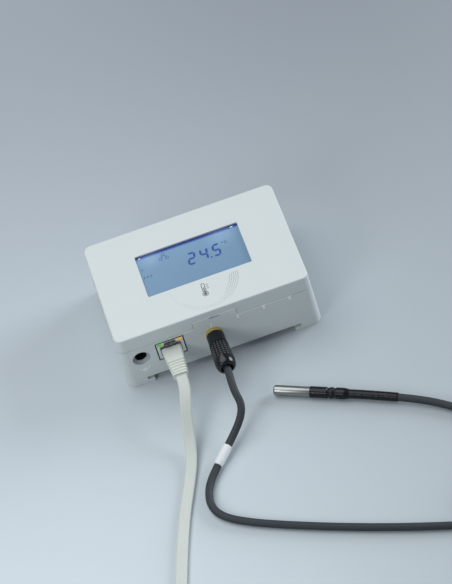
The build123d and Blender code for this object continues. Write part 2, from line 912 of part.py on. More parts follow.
# Probe cable from the plug's clamp to the coil
cable_start = [(socket_x, -gland_face, socket_z), (socket_x, -gland_face - cable_lead, socket_z)]
probe_cable = round_cord("probe_cable", cable_start + cable_points)
with BuildPart() as probe_cable_run:
    add(probe_cable.part)
    add(probe_cable_coil.part, mode=Mode.SUBTRACT)
save(probe_cable_run, "probe_cable")

# Probe cable from the coil to the end of the probe's stem
probe_way = Vector(*probe_end_way, 0).normalized()
probe_axis_z = stem_radius + cable_gap + sleeve_wall
tip_place = Vector(*probe_tip, probe_axis_z)
stem_end = tip_place + probe_way * stem_length
sleeve_corner = tail_points[-1][:2] + (probe_axis_z,)
tail_route = tail_points[:-1] + [sleeve_corner, tuple(stem_end)]
probe_tail = round_cord("probe_cable_tail", tail_route)
with BuildPart() as probe_cable_tail:
    add(probe_tail.part)
    add(probe_cable_coil.part, mode=Mode.SUBTRACT)
save(probe_cable_tail, "probe_cable_tail")

# Marker sleeve on the straight run of the probe cable
run_start = Vector(*cable_points[points_before_marker_count])
run_end = Vector(*cable_points[points_before_marker_count + 1])
run_way = (run_end - run_start).normalized()
marker_middle = (run_start + run_end) * 0.5
with BuildPart() as cable_marker:
    with BuildSketch(Plane(origin=marker_middle, z_dir=run_way)):
        Circle(marker_radius)
        Circle(cable_radius + cable_gap / 2, mode=Mode.SUBTRACT)
    extrude(amount=marker_length / 2, both=True)
save(cable_marker, "cable_marker")

# Steel stem of the probe, with a rounded closed tip
probe_plane = Plane(origin=tip_place, z_dir=probe_way)
with BuildPart() as probe_stem:
    with BuildSketch(probe_plane):
        Circle(stem_radius)
    extrude(amount=stem_length)
    tip_face = probe_stem.faces().sort_by(Axis(tip_place, probe_way))[0]
    fillet(tip_face.edges(), radius=stem_tip_edge)
save(probe_stem, "probe_stem")

# Shrink sleeve over the stem's end and the cable, with a crimped waist
sleeve_outer = stem_radius + cable_gap + sleeve_wall
sleeve_thin = cable_radius + cable_gap + sleeve_thin_wall
sleeve_side = Plane(origin=tip_place, x_dir=probe_way, z_dir=(0, 0, 1))
with BuildPart() as probe_sleeve:
    with BuildSketch(sleeve_side):
        with BuildLine():
            Polyline(
                (sleeve_start, stem_radius + cable_gap / 2),
                (sleeve_start, sleeve_outer),
                (crimp_start, sleeve_outer),
                (crimp_start + crimp_length / 2, sleeve_outer - crimp_depth),
                (crimp_start + crimp_length, sleeve_outer),
                (stem_length, sleeve_outer),
                (stem_length + sleeve_taper, sleeve_thin),
                (probe_length, sleeve_thin),
                (probe_length, cable_radius + cable_gap),
                (stem_length, cable_radius + cable_gap),
                (stem_length, stem_radius + cable_gap / 2),
                close=True,
            )
        make_face()
    revolve(axis=Axis(tip_place, probe_way))
save(probe_sleeve, "probe_sleeve")


def network_plug(place):
    """Modular plug body: its nose points against the plane's normal, its latch along y."""
    half = plug_height / 2
    with BuildPart() as body:
        with BuildSketch(place):
            Rectangle(plug_width, plug_height)
        extrude(amount=-plug_length)
        nose = body.faces().sort_by(Axis(place.origin, place.z_dir))[0]
        chamfer(nose.edges(), length=plug_chamfer)
        with BuildSketch(place.offset(blade_length - plug_length + plug_chamfer)):
            with Locations((0, (blade_depth - plug_height) / 2)):
                with GridLocations(contact_pitch, 0, contact_count, 1):
                    Rectangle(blade_width, blade_depth)
        extrude(amount=-blade_length, mode=Mode.SUBTRACT)
        side = Plane(origin=place.origin, x_dir=place.z_dir, z_dir=place.x_dir * -1)
        with BuildSketch(side):
            with BuildLine():
                Polyline(
                    (blade_length - plug_length, half),
                    (latch_out, half + latch_rise),
                    (latch_out, half + latch_rise + latch_thickness),
                    (blade_length - plug_length - latch_thickness, half + plug_gap),
                    (blade_length - plug_length - latch_thickness, half),
                    close=True,
                )
            make_face()
        extrude(amount=latch_width / 2, both=True)
    return body


def plug_contacts(place):
    """Gold blades in the plug's nose."""
    with BuildPart() as blades:
        with BuildSketch(place.offset(blade_length - plug_length + plug_chamfer)):
            with Locations((0, (blade_depth - plug_height) / 2 + plug_gap)):
                with GridLocations(contact_pitch, 0, contact_count, 1):
                    Rectangle(blade_width, blade_depth - 2 * plug_gap)
        extrude(amount=-blade_length)
    return blades


def plug_boot(place):
    """Moulded boot: a tapering sleeve with cross grooves in its rear half."""
    with BuildPart() as boot:
        with BuildSketch(place):
            RectangleRounded(boot_front_width, boot_front_height, boot_corner)
        with BuildSketch(place.offset(boot_length)):
            RectangleRounded(boot_end_width, boot_end_height, boot_corner)
        loft()
        for groove in range(boot_groove_count):
            station = boot_groove_first + groove * boot_groove_pitch
            share = station / boot_length
            width = boot_front_width + share * (boot_end_width - boot_front_width)
            height = boot_front_height + share * (boot_end_height - boot_front_height)
            with BuildSketch(place.offset(station)):
                Rectangle(2 * boot_front_width, 2 * boot_front_height)
                Rectangle(
                    width - 2 * boot_groove_depth,
                    height - 2 * boot_groove_depth,
                    mode=Mode.SUBTRACT,
                )
            extrude(amount=boot_groove_width, mode=Mode.SUBTRACT)
    return boot


# Network plug in the jack, latch towards the display
jack_place = Plane(origin=(jack_x, -boot_plane, plug_z), x_dir=(1, 0, 0), z_dir=(0, -1, 0))
save(network_plug(jack_place), "network_plug")
save(plug_contacts(jack_place), "network_plug_contacts")
save(plug_boot(jack_place), "network_plug_boot")

# Coil of the flat cable: turns on edge, with the straight stretch that leads in
lead_angle = radians(flat_coil_way)
lead_way = Vector(cos(lead_angle), sin(lead_angle), 0)
lead_left = Vector(-sin(lead_angle), cos(lead_angle), 0)
coil_entry = Vector(*flat_coil_entry, flat_lift)
coil_middle = coil_entry + lead_left * flat_coil_outer
flat_coil_centre = (coil_middle.X, coil_middle.Y)
ring_outer = flat_coil_outer + flat_thickness / 2
ring_inner = flat_coil_inner - flat_thickness / 2
network_cable_tie = coil_tie(
    flat_coil_centre, flat_tie_angle, ring_inner, ring_outer, flat_lift + flat_width
)
save(network_cable_tie, "network_cable_tie")

with BuildPart() as network_cable_coil:
    with BuildSketch(Plane.XY.offset(flat_lift)):
        with Locations(flat_coil_centre):
            Circle(ring_outer)
            Circle(ring_inner, mode=Mode.SUBTRACT)
    extrude(amount=flat_width)
    with BuildSketch(Plane(origin=coil_entry, x_dir=lead_way, z_dir=(0, 0, 1))):
        with Locations((-flat_stub / 2, 0)):
            Rectangle(flat_stub, flat_thickness)
    extrude(amount=flat_width)
    add(network_cable_tie.part, mode=Mode.SUBTRACT)
save(network_cable_coil, "network_cable_coil")

# Flat cable from the coil, where it lies flat, back to the boot
flat_start = [(jack_x, -boot_end, plug_z), (jack_x, -boot_end - flat_lead, plug_z)]
stub_end = coil_entry - lead_way * flat_stub
flat_end = (stub_end.X, stub_end.Y, flat_lift + flat_thickness / 2)
flat_route = flat_start + flat_points + [flat_end]
network_cable = flat_cord("network_cable", flat_route[::-1], tuple(lead_left))
save(network_cable, "network_cable")

# Curl from the innermost turn to the far plug, which lies on its side within the coil
coil_turns = (flat_coil_outer - flat_coil_inner) / flat_coil_pitch
inner_angle = flat_coil_way - 90 + 360 * coil_turns
curl_across = sqrt(flat_coil_inner**2 - 2 * flat_coil_inner * flat_curl_radius)
curl_lead = degrees(atan2(flat_curl_radius, curl_across))
plug_angle = radians(inner_angle + curl_lead)
out_way = Vector(cos(plug_angle), sin(plug_angle), 0)
side_way = Vector(sin(plug_angle), -cos(plug_angle), 0)
curl_middle = coil_middle + out_way * curl_across + side_way * flat_curl_radius
curl_low = flat_lift + flat_width / 2
curl_high = plug_width / 2
curl_points = []
for step in range(flat_curl_steps + 1):
    share = step / flat_curl_steps
    turn = radians(inner_angle + share * (90 + curl_lead))
    spot = curl_middle + Vector(cos(turn), sin(turn), 0) * flat_curl_radius
    curl_points.append((spot.X, spot.Y, curl_low + share * (curl_high - curl_low)))
boot_mouth = coil_middle + out_way * (curl_across - flat_curl_lead)
curl_points.append((boot_mouth.X, boot_mouth.Y, curl_high))
curl = flat_cord("network_cable_tail", curl_points, (0, 0, 1))
with BuildPart() as network_cable_tail:
    add(curl.part)
    add(network_cable_coil.part, mode=Mode.SUBTRACT)
save(network_cable_tail, "network_cable_tail")

far_origin = boot_mouth - out_way * boot_length
far_place = Plane(origin=(far_origin.X, far_origin.Y, curl_high), x_dir=(0, 0, 1), z_dir=out_way)
save(network_plug(far_place), "far_network_plug")
save(plug_contacts(far_place), "far_plug_contacts")
save(plug_boot(far_place), "far_plug_boot")
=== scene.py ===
import math

import bmesh
import bpy
from mathutils import Matrix, Vector


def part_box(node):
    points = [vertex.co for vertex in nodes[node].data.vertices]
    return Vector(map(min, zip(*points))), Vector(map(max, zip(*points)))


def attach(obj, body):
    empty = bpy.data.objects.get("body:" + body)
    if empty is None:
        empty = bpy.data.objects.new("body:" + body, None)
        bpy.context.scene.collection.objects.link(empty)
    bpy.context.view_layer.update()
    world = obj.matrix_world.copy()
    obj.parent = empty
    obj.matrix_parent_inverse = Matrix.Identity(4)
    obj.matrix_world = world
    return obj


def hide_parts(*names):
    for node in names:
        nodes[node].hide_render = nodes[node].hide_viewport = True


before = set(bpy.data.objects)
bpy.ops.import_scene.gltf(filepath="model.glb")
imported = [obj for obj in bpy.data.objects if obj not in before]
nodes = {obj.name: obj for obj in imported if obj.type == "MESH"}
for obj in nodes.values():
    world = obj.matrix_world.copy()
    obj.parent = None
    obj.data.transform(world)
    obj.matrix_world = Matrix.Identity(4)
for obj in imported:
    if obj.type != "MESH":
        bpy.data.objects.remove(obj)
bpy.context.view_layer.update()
scene = bpy.context.scene
scene.view_settings.view_transform = "Standard"
MM = 0.001
UP = Vector((0, 0, 1))
OUTWARDS = Vector((0, -1, 0))
CORNERS = ((-1, -1), (1, -1), (1, 1), (-1, 1))


def mm(x, y, z):
    """A place in millimetres, as a vector in metres."""
    return Vector((x, y, z)) * MM


def low(node):
    """Lowest corner of a CAD node, in millimetres."""
    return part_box(node)[0] / MM


def high(node):
    """Highest corner of a CAD node, in millimetres."""
    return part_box(node)[1] / MM


def middle(node):
    """Middle of a CAD node's box, in millimetres."""
    return (low(node) + high(node)) / 2


def inner_end(node):
    """Middle of a CAD node's end nearest the housing, in millimetres."""
    return Vector((middle(node).x, high(node).y, middle(node).z))


def outer_end(node):
    """Middle of a CAD node's end farthest from the housing, in millimetres."""
    return Vector((middle(node).x, low(node).y, middle(node).z))


def reach_out(node):
    """Length of a CAD node along the way out of the housing, in millimetres."""
    return high(node).y - low(node).y


def between(start, end, share):
    """Value at a share of the way from start to end."""
    return start + share * (end - start)


def eased(share):
    """Share of a change that is slow at both ends."""
    return share * share * (3 - 2 * share)


def add_object(name, data):
    """New object in the scene."""
    made = bpy.data.objects.new(name, data)
    scene.collection.objects.link(made)
    return made


def linear(red, green, blue):
    """Screen colour, 0 to 255, as linear light."""
    out = []
    for value in (red, green, blue):
        v = value / 255
        out.append(v / 12.92 if v <= 0.04045 else ((v + 0.055) / 1.055) ** 2.4)
    return tuple(out)


# Camera: fitted to the photo, image 452 by 584
CAMERA_PLACE = mm(-40.2, -945.9, 1110.3)
CAMERA_AZIMUTH = math.radians(-3.17)
CAMERA_ELEVATION = math.radians(49.37)
CAMERA_ROLL = math.radians(16.87)
FOCAL_PIXELS = 2600
IMAGE_HEIGHT = 584
SENSOR = 36
CLIP_START = 0.05
CLIP_END = 20

forward = -Vector((
    math.sin(CAMERA_AZIMUTH) * math.cos(CAMERA_ELEVATION),
    -math.cos(CAMERA_AZIMUTH) * math.cos(CAMERA_ELEVATION),
    math.sin(CAMERA_ELEVATION),
))
level = forward.cross(UP).normalized()
down = forward.cross(level)
image_right = math.cos(CAMERA_ROLL) * level + math.sin(CAMERA_ROLL) * down
image_down = -math.sin(CAMERA_ROLL) * level + math.cos(CAMERA_ROLL) * down
camera_data = bpy.data.cameras.new("camera")
camera_data.sensor_width = SENSOR
camera_data.lens = FOCAL_PIXELS * SENSOR / IMAGE_HEIGHT
camera_data.clip_start = CLIP_START
camera_data.clip_end = CLIP_END
camera = add_object("camera", camera_data)
axes = Matrix((image_right, -image_down, -forward)).transposed().to_4x4()
camera.matrix_world = Matrix.Translation(CAMERA_PLACE) @ axes
scene.camera = camera


# Shader steps: each takes sockets or constants and gives a socket
def feed(tree, node, fed):
    """Link each named socket of a node to another node's output, or set a constant on it."""
    for socket, value in fed.items():
        if isinstance(value, bpy.types.NodeSocket):
            tree.links.new(value, node.inputs[socket])
        else:
            node.inputs[socket].default_value = value


def result_of(tree, kind, fed, result, **settings):
    """Result of a new shader node with these settings."""
    node = tree.nodes.new(kind)
    for name, value in settings.items():
        setattr(node, name, value)
    feed(tree, node, fed)
    return node.outputs[result]


def sum_of(tree, operation, *values):
    """Result of a sum on single values."""
    return result_of(tree, "ShaderNodeMath", dict(enumerate(values)), 0, operation=operation)


def carried(tree, value, start, end, new_start=0.0, new_end=1.0, smooth=False):
    """Value carried over from one range to another."""
    fed = {"Value": value, "From Min": start, "From Max": end, "To Min": new_start, "To Max": new_end}
    kind = "SMOOTHSTEP" if smooth else "LINEAR"
    return result_of(tree, "ShaderNodeMapRange", fed, "Result", interpolation_type=kind)


def scaled(tree, colour, factor):
    """Colour made lighter or darker by a factor."""
    return result_of(tree, "ShaderNodeVectorMath", {0: colour, "Scale": factor}, 0, operation="SCALE")


def distance(tree, vector, place):
    """Distance of a vector from a place."""
    return result_of(tree, "ShaderNodeVectorMath", {0: vector, 1: place}, "Value", operation="DISTANCE")


def blended(tree, factor, first, second, kind="MIX"):
    """Two colours blended by a factor."""
    fed = {"Factor": factor, "A": first, "B": second}
    return result_of(tree, "ShaderNodeMix", fed, "Result", data_type="RGBA", blend_type=kind)


def own_place(tree):
    """Place on the object."""
    return result_of(tree, "ShaderNodeTexCoord", {}, "Object")


def parts_of(tree, vector):
    """The x, y and z of a vector."""
    split = tree.nodes.new("ShaderNodeSeparateXYZ")
    feed(tree, split, {0: vector})
    return split.outputs


# Shared shader groups: colour mottling, roughness wear and surface grain
FLOAT = "NodeSocketFloat"
VECTOR = "NodeSocketVector"
COLOUR = "NodeSocketColor"
NOISE_DETAIL = 3.0
WEAR_RANGE = (0.3, 0.7)


def new_group(name, inputs, output, output_type):
    """Shader group with a noise in it: the group, what it is given, its end and the noise's value."""
    group = bpy.data.node_groups.new(name, "ShaderNodeTree")
    for socket, kind in inputs:
        group.interface.new_socket(socket, in_out="INPUT", socket_type=kind)
    group.interface.new_socket(output, in_out="OUTPUT", socket_type=output_type)
    given = group.nodes.new("NodeGroupInput").outputs
    end = group.nodes.new("NodeGroupOutput")
    fed = {"Vector": own_place(group), "Scale": given["Scale"], "Detail": NOISE_DETAIL}
    return group, given, end, result_of(group, "ShaderNodeTexNoise", fed, "Fac")


def mottle_group():
    """Colour with soft lighter and darker patches."""
    group, given, end, noise = new_group(
        "mottle", [("Colour", COLOUR), ("Amount", FLOAT), ("Scale", FLOAT)], "Colour", COLOUR)
    change = sum_of(group, "SUBTRACT", noise, 0.5)
    gain = sum_of(group, "MULTIPLY_ADD", change, given["Amount"], 1.0)
    feed(group, end, {"Colour": scaled(group, given["Colour"], gain)})
    return group


def wear_group():
    """Roughness that wanders between a low and a high value."""
    group, given, end, noise = new_group(
        "wear", [("Low", FLOAT), ("High", FLOAT), ("Scale", FLOAT)], "Value", FLOAT)
    feed(group, end, {"Value": carried(group, noise, *WEAR_RANGE, given["Low"], given["High"])})
    return group


def bumped(tree, height, strength, depth, **under):
    """Normal of a surface with bumps, over another normal where one is given."""
    fed = {"Height": height, "Strength": strength, "Distance": depth, **under}
    return result_of(tree, "ShaderNodeBump", fed, "Normal")


def grain_group():
    """Fine uneven surface."""
    group, given, end, noise = new_group(
        "grain", [("Strength", FLOAT), ("Depth", FLOAT), ("Scale", FLOAT)], "Normal", VECTOR)
    feed(group, end, {"Normal": bumped(group, noise, given["Strength"], given["Depth"])})
    return group


MOTTLE = mottle_group()
WEAR = wear_group()
GRAIN = grain_group()


def shared(tree, group, **fed):
    """Result of a shared group in a material."""
    return result_of(tree, "ShaderNodeGroup", fed, 0, node_tree=group)


# Finishes: grain is strength, depth in metres and scale; mottle is amount and scale
FINE_GRAIN = (0.15, 2e-5, 2500)
SOFT_MOTTLE = (0.05, 60)
WEAR_FINER = 3


def new_look(name):
    """Empty material: the material, its tree and its shader."""
    made = bpy.data.materials.new(name)
    made.use_nodes = True
    return made, made.node_tree, made.node_tree.nodes["Principled BSDF"]


def material(name, colour, rough, grain=FINE_GRAIN, mottle=SOFT_MOTTLE,
             metal=0.0, ior=1.45, through=0.0, emission=None):
    """Procedural finish: mottled colour, uneven roughness and a fine grain."""
    made, tree, shader = new_look(name)
    feed(tree, shader, {
        "Base Color": shared(tree, MOTTLE, Colour=(*colour, 1), Amount=mottle[0], Scale=mottle[1]),
        "Roughness": shared(tree, WEAR, Low=rough[0], High=rough[1], Scale=mottle[1] * WEAR_FINER),
        "Normal": shared(tree, GRAIN, Strength=grain[0], Depth=grain[1], Scale=grain[2]),
        "Metallic": metal, "IOR": ior, "Transmission Weight": through,
    })
    if emission:
        feed(tree, shader, {"Emission Color": (*emission[0], 1), "Emission Strength": emission[1]})
    return made


DIGIT_BLUE = linear(36, 66, 142)
MARK_BLUE = linear(66, 96, 144)
WHITE = material("housing_white", (0.615, 0.66, 0.65), (0.36, 0.48), (0.22, 2e-5, 3000), (0.03, 45))
# Paler than the housing's white: painted highlight on raised marks and edges
RAISED_HIGHLIGHT = material("raised_painted_highlight", (0.93, 0.96, 0.97), (0.3, 0.4))
# Darker grey for the power jack's mouth: painted shade
SHADE = material("mouth_painted_shade", (0.36, 0.39, 0.40), (0.4, 0.5))
DOTS = material("print_pale", (0.20, 0.22, 0.24), (0.4, 0.5))
PRINT = material("print_grey", (0.10, 0.11, 0.13), (0.4, 0.5))
# Near black: painted shade of the gap round the network jack's shield
SHIELD_GAP_SHADE = material("shield_gap_painted_shade", (0.035, 0.035, 0.028), (0.4, 0.55))
BLACK = material("plastic_black", (0.010, 0.011, 0.012), (0.34, 0.46), (0.2, 2e-5, 2500))
GRIP = material("grip_black", (0.006, 0.007, 0.008), (0.15, 0.22), (0.05, 1e-5, 2500))
CABLE = material("cable_black", (0.026, 0.033, 0.039), (0.55, 0.70), (0.3, 3e-5, 1800), (0.12, 500))
SHRINK = material("shrink_black", (0.005, 0.006, 0.008), (0.20, 0.36), (0.9, 1.6e-4, 420), ior=1.36)
GREY = material("cable_grey", (0.555, 0.59, 0.545), (0.38, 0.52), (0.25, 2e-5, 2200), (0.05, 50))
BOOT = material("boot_grey", (0.64, 0.68, 0.61), (0.36, 0.5), (0.25, 2e-5, 2500), (0.05, 60))
MARKER = material("marker_white", (0.72, 0.75, 0.75), (0.35, 0.5), (0.2, 2e-5, 2000))
STEEL = material("probe_steel", (0.31, 0.32, 0.305), (0.29, 0.32), (0.02, 2e-6, 3000), (0.02, 60),
                 metal=1.0)
PLATED = material("plated_steel", (0.86, 0.86, 0.83), (0.25, 0.4), (0.06, 6e-6, 3000), (0.1, 120),
                  metal=1.0)
GOLD = material("gold_contact", (0.80, 0.60, 0.22), (0.2, 0.3), (0.1, 1e-5, 2500), metal=1.0)
CLEAR = material("plug_clear", (0.62, 0.65, 0.65), (0.06, 0.14), (0.06, 1e-5, 1200),
                 through=0.85, ior=1.57)
BOARD = material("board_green", (0.02, 0.11, 0.045), (0.35, 0.5), (0.4, 3e-5, 1200), (0.25, 300))
CHIP = material("chip_black", (0.018, 0.018, 0.02), (0.5, 0.65), (0.3, 2e-5, 2500))
DIFFUSER = material("diffuser_white", (0.7, 0.76, 0.82), (0.4, 0.55))
GREEN = material("light_green", (0.06, 0.42, 0.04), (0.15, 0.25), emission=((0.07, 0.62, 0.01), 0.42))
AMBER = material("light_amber", (0.72, 0.34, 0.03), (0.15, 0.25), emission=((1.0, 0.42, 0.01), 0.48))
TIE = material("tie_black", (0.02, 0.02, 0.022), (0.6, 0.8), (0.8, 1e-4, 1500))
DIGIT = material("digit_blue", DIGIT_BLUE, (0.3, 0.4), emission=(DIGIT_BLUE, 0.15))
FAINT = material("mark_blue", MARK_BLUE, (0.3, 0.4), emission=(MARK_BLUE, 0.15))
SPOT = material("light_spot", (0.62, 0.70, 0.86), (0.3, 0.4), emission=((0.7, 0.8, 1.0), 0.25))

# Brass of the probe socket
FLUTES = 44
FLUTE_STRENGTH = 0.6
FLUTE_DEPTH = 0.1


def look_socket(made, socket):
    """Socket of a finish's shader."""
    return made.node_tree.nodes["Principled BSDF"].inputs[socket]


def brass_look():
    """Brass with fine flutes all round the socket's axis."""
    made = material("socket_brass", (0.82, 0.60, 0.24), (0.22, 0.36), (0.1, 1e-5, 1500), (0.2, 150),
                    metal=1.0)
    tree = made.node_tree
    axis = middle("probe_plug_sleeve") * MM
    place = parts_of(tree, own_place(tree))
    x = sum_of(tree, "SUBTRACT", place["X"], axis.x)
    z = sum_of(tree, "SUBTRACT", place["Z"], axis.z)
    turn = sum_of(tree, "ARCTAN2", z, x)
    wave = sum_of(tree, "SINE", sum_of(tree, "MULTIPLY", turn, FLUTES))
    normal = look_socket(made, "Normal")
    under = normal.links[0].from_socket
    tree.links.new(bumped(tree, wave, FLUTE_STRENGTH, FLUTE_DEPTH * MM, Normal=under), normal)
    return made


BRASS = brass_look()

# Knurl of the probe plug's grip: painted highlight on the block tops and painted shade in the grooves
GRIP_FRONT = 5.25
GRIP_REAR = 5.7
GRIP_LENGTH = 12.4
GROOVE_SHADE_COLOUR = (0.003, 0.0035, 0.004)
LIT_TOP_COLOUR = (0.055, 0.06, 0.066)
LIT_TOP_DEPTH = 0.02
FULL_SHADE_DEPTH = 0.22


def knurl_shade_look():
    """Black grip painted paler at its knurl blocks' tops and darker in the grooves: painted highlight
    and painted shade.
    """
    made = material("knurl_black_painted_shade", LIT_TOP_COLOUR, (0.15, 0.22), (0.05, 1e-5, 2500))
    tree = made.node_tree
    axis = middle("probe_plug_grip") * MM
    start = high("probe_plug_grip").y * MM
    end = start - GRIP_LENGTH * MM
    place = parts_of(tree, own_place(tree))
    across = result_of(tree, "ShaderNodeCombineXYZ", {"X": place["X"], "Z": place["Z"]}, 0)
    radius = distance(tree, across, (axis.x, 0, axis.z))
    outside = carried(tree, place["Y"], start, end, GRIP_FRONT * MM, GRIP_REAR * MM)
    depth = sum_of(tree, "SUBTRACT", outside, radius)
    groove_shade = carried(tree, depth, LIT_TOP_DEPTH * MM, FULL_SHADE_DEPTH * MM)
    base = look_socket(made, "Base Color")
    tree.links.new(blended(tree, groove_shade, base.links[0].from_socket, (*GROOVE_SHADE_COLOUR, 1)), base)
    return made


KNURL_PAINTED_SHADE = knurl_shade_look()


def dress(look, *names):
    """Give CAD nodes a finish."""
    for name in names:
        for place in nodes[name].material_slots:
            place.material = look


dress(WHITE, "front_cover", "rear_base")
dress(DIFFUSER, "display_backlight")
dress(BLACK, "display_frame", "header_socket", "header_pins", "network_jack_insert")
dress(BLACK, "power_jack_body", "probe_socket_insert", "probe_plug_insert", "probe_plug_gland")
dress(BOARD, "display_board", "main_board")
dress(CHIP, "processor_chip", "network_chip", "power_inductor")
dress(PLATED, "display_screws", "board_screws", "crystal_can", "filter_capacitors")
dress(PLATED, "network_jack_shield", "power_jack_pin")
dress(GOLD, "network_jack_contacts", "network_plug_contacts", "far_plug_contacts", "probe_socket_pins")
dress(BRASS, "probe_socket_shell", "probe_socket_nut")
dress(GREEN, "link_light")
dress(AMBER, "activity_light")
dress(CLEAR, "network_plug", "far_network_plug")
dress(TIE, "probe_cable_tie", "network_cable_tie")

# Display: a backlit panel with two hazes of light and a blue strip along its top, darkening towards the
# very top edge as painted shade under the window's lip
WINDOW_LOW = -13.3
WINDOW_HIGH = 17.7
# Share of the window's height and the panel's colour there; the last stop is painted shade under the
# window's lip
PANEL_AND_SHADE_STOPS = (
    (0.0, linear(97, 129, 156)),
    (0.5, linear(101, 133, 160)),
    (0.925, linear(108, 139, 168)),
    (0.945, linear(42, 80, 156)),
    (0.99, linear(22, 44, 104)),
)
# Place and reach of each haze
HAZES = ((-22.0, 14.2, 9.0), (19.0, 14.0, 12.0))
HAZE_COLOUR = linear(160, 180, 214)
HAZE_STRENGTH = 0.17
PANEL_MOTTLE = (0.06, 40.0)
PANEL_GLOW = 0.18
PANEL_ROUGH = 0.3
LCD_TOP = high("display_glass").z


def display_look():
    """Blue panel that glows a little."""
    made, tree, shader = new_look("display_blue")
    place = own_place(tree)
    ramp = tree.nodes.new("ShaderNodeValToRGB")
    stops = ramp.color_ramp.elements
    for index, (share, colour) in enumerate(PANEL_AND_SHADE_STOPS):
        stop = stops[index] if index < len(stops) else stops.new(share)
        stop.position = share
        stop.color = (*colour, 1)
    height = parts_of(tree, place)["Y"]
    feed(tree, ramp, {"Fac": carried(tree, height, WINDOW_LOW * MM, WINDOW_HIGH * MM)})
    tint = ramp.outputs["Color"]
    for x, y, reach in HAZES:
        away = distance(tree, place, mm(x, y, LCD_TOP))
        fade = carried(tree, away, 0.0, reach * MM, HAZE_STRENGTH, 0.0, smooth=True)
        tint = blended(tree, fade, tint, (*HAZE_COLOUR, 1), "SCREEN")
    paint = shared(tree, MOTTLE, Colour=tint, Amount=PANEL_MOTTLE[0], Scale=PANEL_MOTTLE[1])
    feed(tree, shader, {
        "Base Color": paint, "Emission Color": paint,
        "Emission Strength": PANEL_GLOW, "Roughness": PANEL_ROUGH,
    })
    return made


dress(display_look(), "display_glass")

# Mesh makers
SHARP = 40


def place_piece(name, mesh, look, stands_for=()):
    """Put a mesh in the scene as a piece of the part."""
    mesh.materials.clear()
    mesh.materials.append(look)
    made = add_object(name, mesh)
    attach(made, "root")
    if stands_for:
        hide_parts(*stands_for)
    return made


def add_piece(name, points, faces, look, smooth=True, stands_for=()):
    """Piece from points in metres and the faces between them."""
    mesh = bpy.data.meshes.new(name)
    mesh.from_pydata([tuple(p) for p in points], [], faces)
    mesh.validate()
    mesh.update()
    if smooth:
        mesh.shade_smooth()
        mesh.set_sharp_from_angle(angle=math.radians(SHARP))
    return place_piece(name, mesh, look, stands_for)


def skin(rings, caps=True):
    """Faces between rings of equal count, with flat ends."""
    count = len(rings[0])
    points = [p for ring in rings for p in ring]
    faces = []
    for row in range(len(rings) - 1):
        for k in range(count):
            a = row * count + k
            b = row * count + (k + 1) % count
            faces.append((a, b, b + count, a + count))
    if caps:
        last = (len(rings) - 1) * count
        faces.append(tuple(reversed(range(count))))
        faces.append(tuple(range(last, last + count)))
    return points, faces


def round_ring(spot, way, radius, count):
    """Circle of points round a line, radius in mm."""
    side = way.cross(UP).normalized()
    other = way.cross(side)
    turns = [2 * math.pi * k / count for k in range(count)]
    return [spot + (side * math.cos(t) + other * math.sin(t)) * radius * MM for t in turns]


def lathe(name, origin, way, profile, look, segments=64, ripple=None, stands_for=(), caps=True):
    """Turned shape from (distance on the axis, radius) in mm; without caps it closes on itself."""
    side = way.orthogonal().normalized()
    other = way.cross(side)
    rings = []
    for along, radius in profile:
        ring = []
        for k in range(segments):
            turn = 2 * math.pi * k / segments
            r = radius + (ripple(along, turn) if ripple else 0)
            out = side * math.cos(turn) + other * math.sin(turn)
            ring.append(origin + (way * along + out * r) * MM)
        rings.append(ring)
    if not caps:
        rings.append(rings[0])
    points, faces = skin(rings, caps)
    return add_piece(name, points, faces, look, stands_for=stands_for)


# Lines that the cords follow
LINE_STEPS = 10
SAME_PLACE = 1e-6


def spline(name, points):
    """Smooth line with the route's points, in millimetres, as its control points."""
    data = bpy.data.curves.new(name, "CURVE")
    data.dimensions = "3D"
    line = data.splines.new("NURBS")
    line.points.add(len(points) - 1)
    for knot, place in zip(line.points, points):
        knot.co = (*mm(*place), 1)
    line.order_u = 3
    line.use_endpoint_u = True
    line.resolution_u = LINE_STEPS
    data.resolution_u = LINE_STEPS
    return add_object(name, data)


def read_line(route):
    """Points along a spline that has no bevel, in order."""
    mesh = bpy.data.meshes.new_from_object(route)
    line = []
    for vertex in mesh.vertices:
        if not line or (vertex.co - line[-1]).length > SAME_PLACE:
            line.append(vertex.co.copy())
    bpy.data.meshes.remove(mesh)
    return line


def line_lengths(line):
    """Distance along a line at each of its points."""
    total = [0.0]
    for a, b in zip(line, line[1:]):
        total.append(total[-1] + (b - a).length)
    return total


def nearest(line, place):
    """Distance along a line at its point nearest to a place."""
    best = min(range(len(line)), key=lambda k: (line[k] - place).length)
    return line_lengths(line)[best]


# Coils: the control points stand a little outside the line that they make
COIL_STEP = 20
ROUNDING = 0.75 + 0.25 * math.cos(math.radians(COIL_STEP))


def lane_point(turn, lanes, centre):
    """Control point of a coil at a turn in degrees, on its lane or between two lanes."""
    for (a, r_a, z_a), (b, r_b, z_b) in zip(lanes, lanes[1:]):
        if a <= turn <= b:
            share = eased((turn - a) / (b - a))
            radius = between(r_a, r_b, share) / ROUNDING
            angle = math.radians(turn)
            x = centre[0] + radius * math.cos(angle)
            y = centre[1] + radius * math.sin(angle)
            return (x, y, between(z_a, z_b, share))


def coil_points(lanes, centre):
    """Control points all along a coil."""
    route = []
    turn = lanes[0][0]
    while turn <= lanes[-1][0]:
        route.append(lane_point(turn, lanes, centre))
        turn += COIL_STEP
    return route


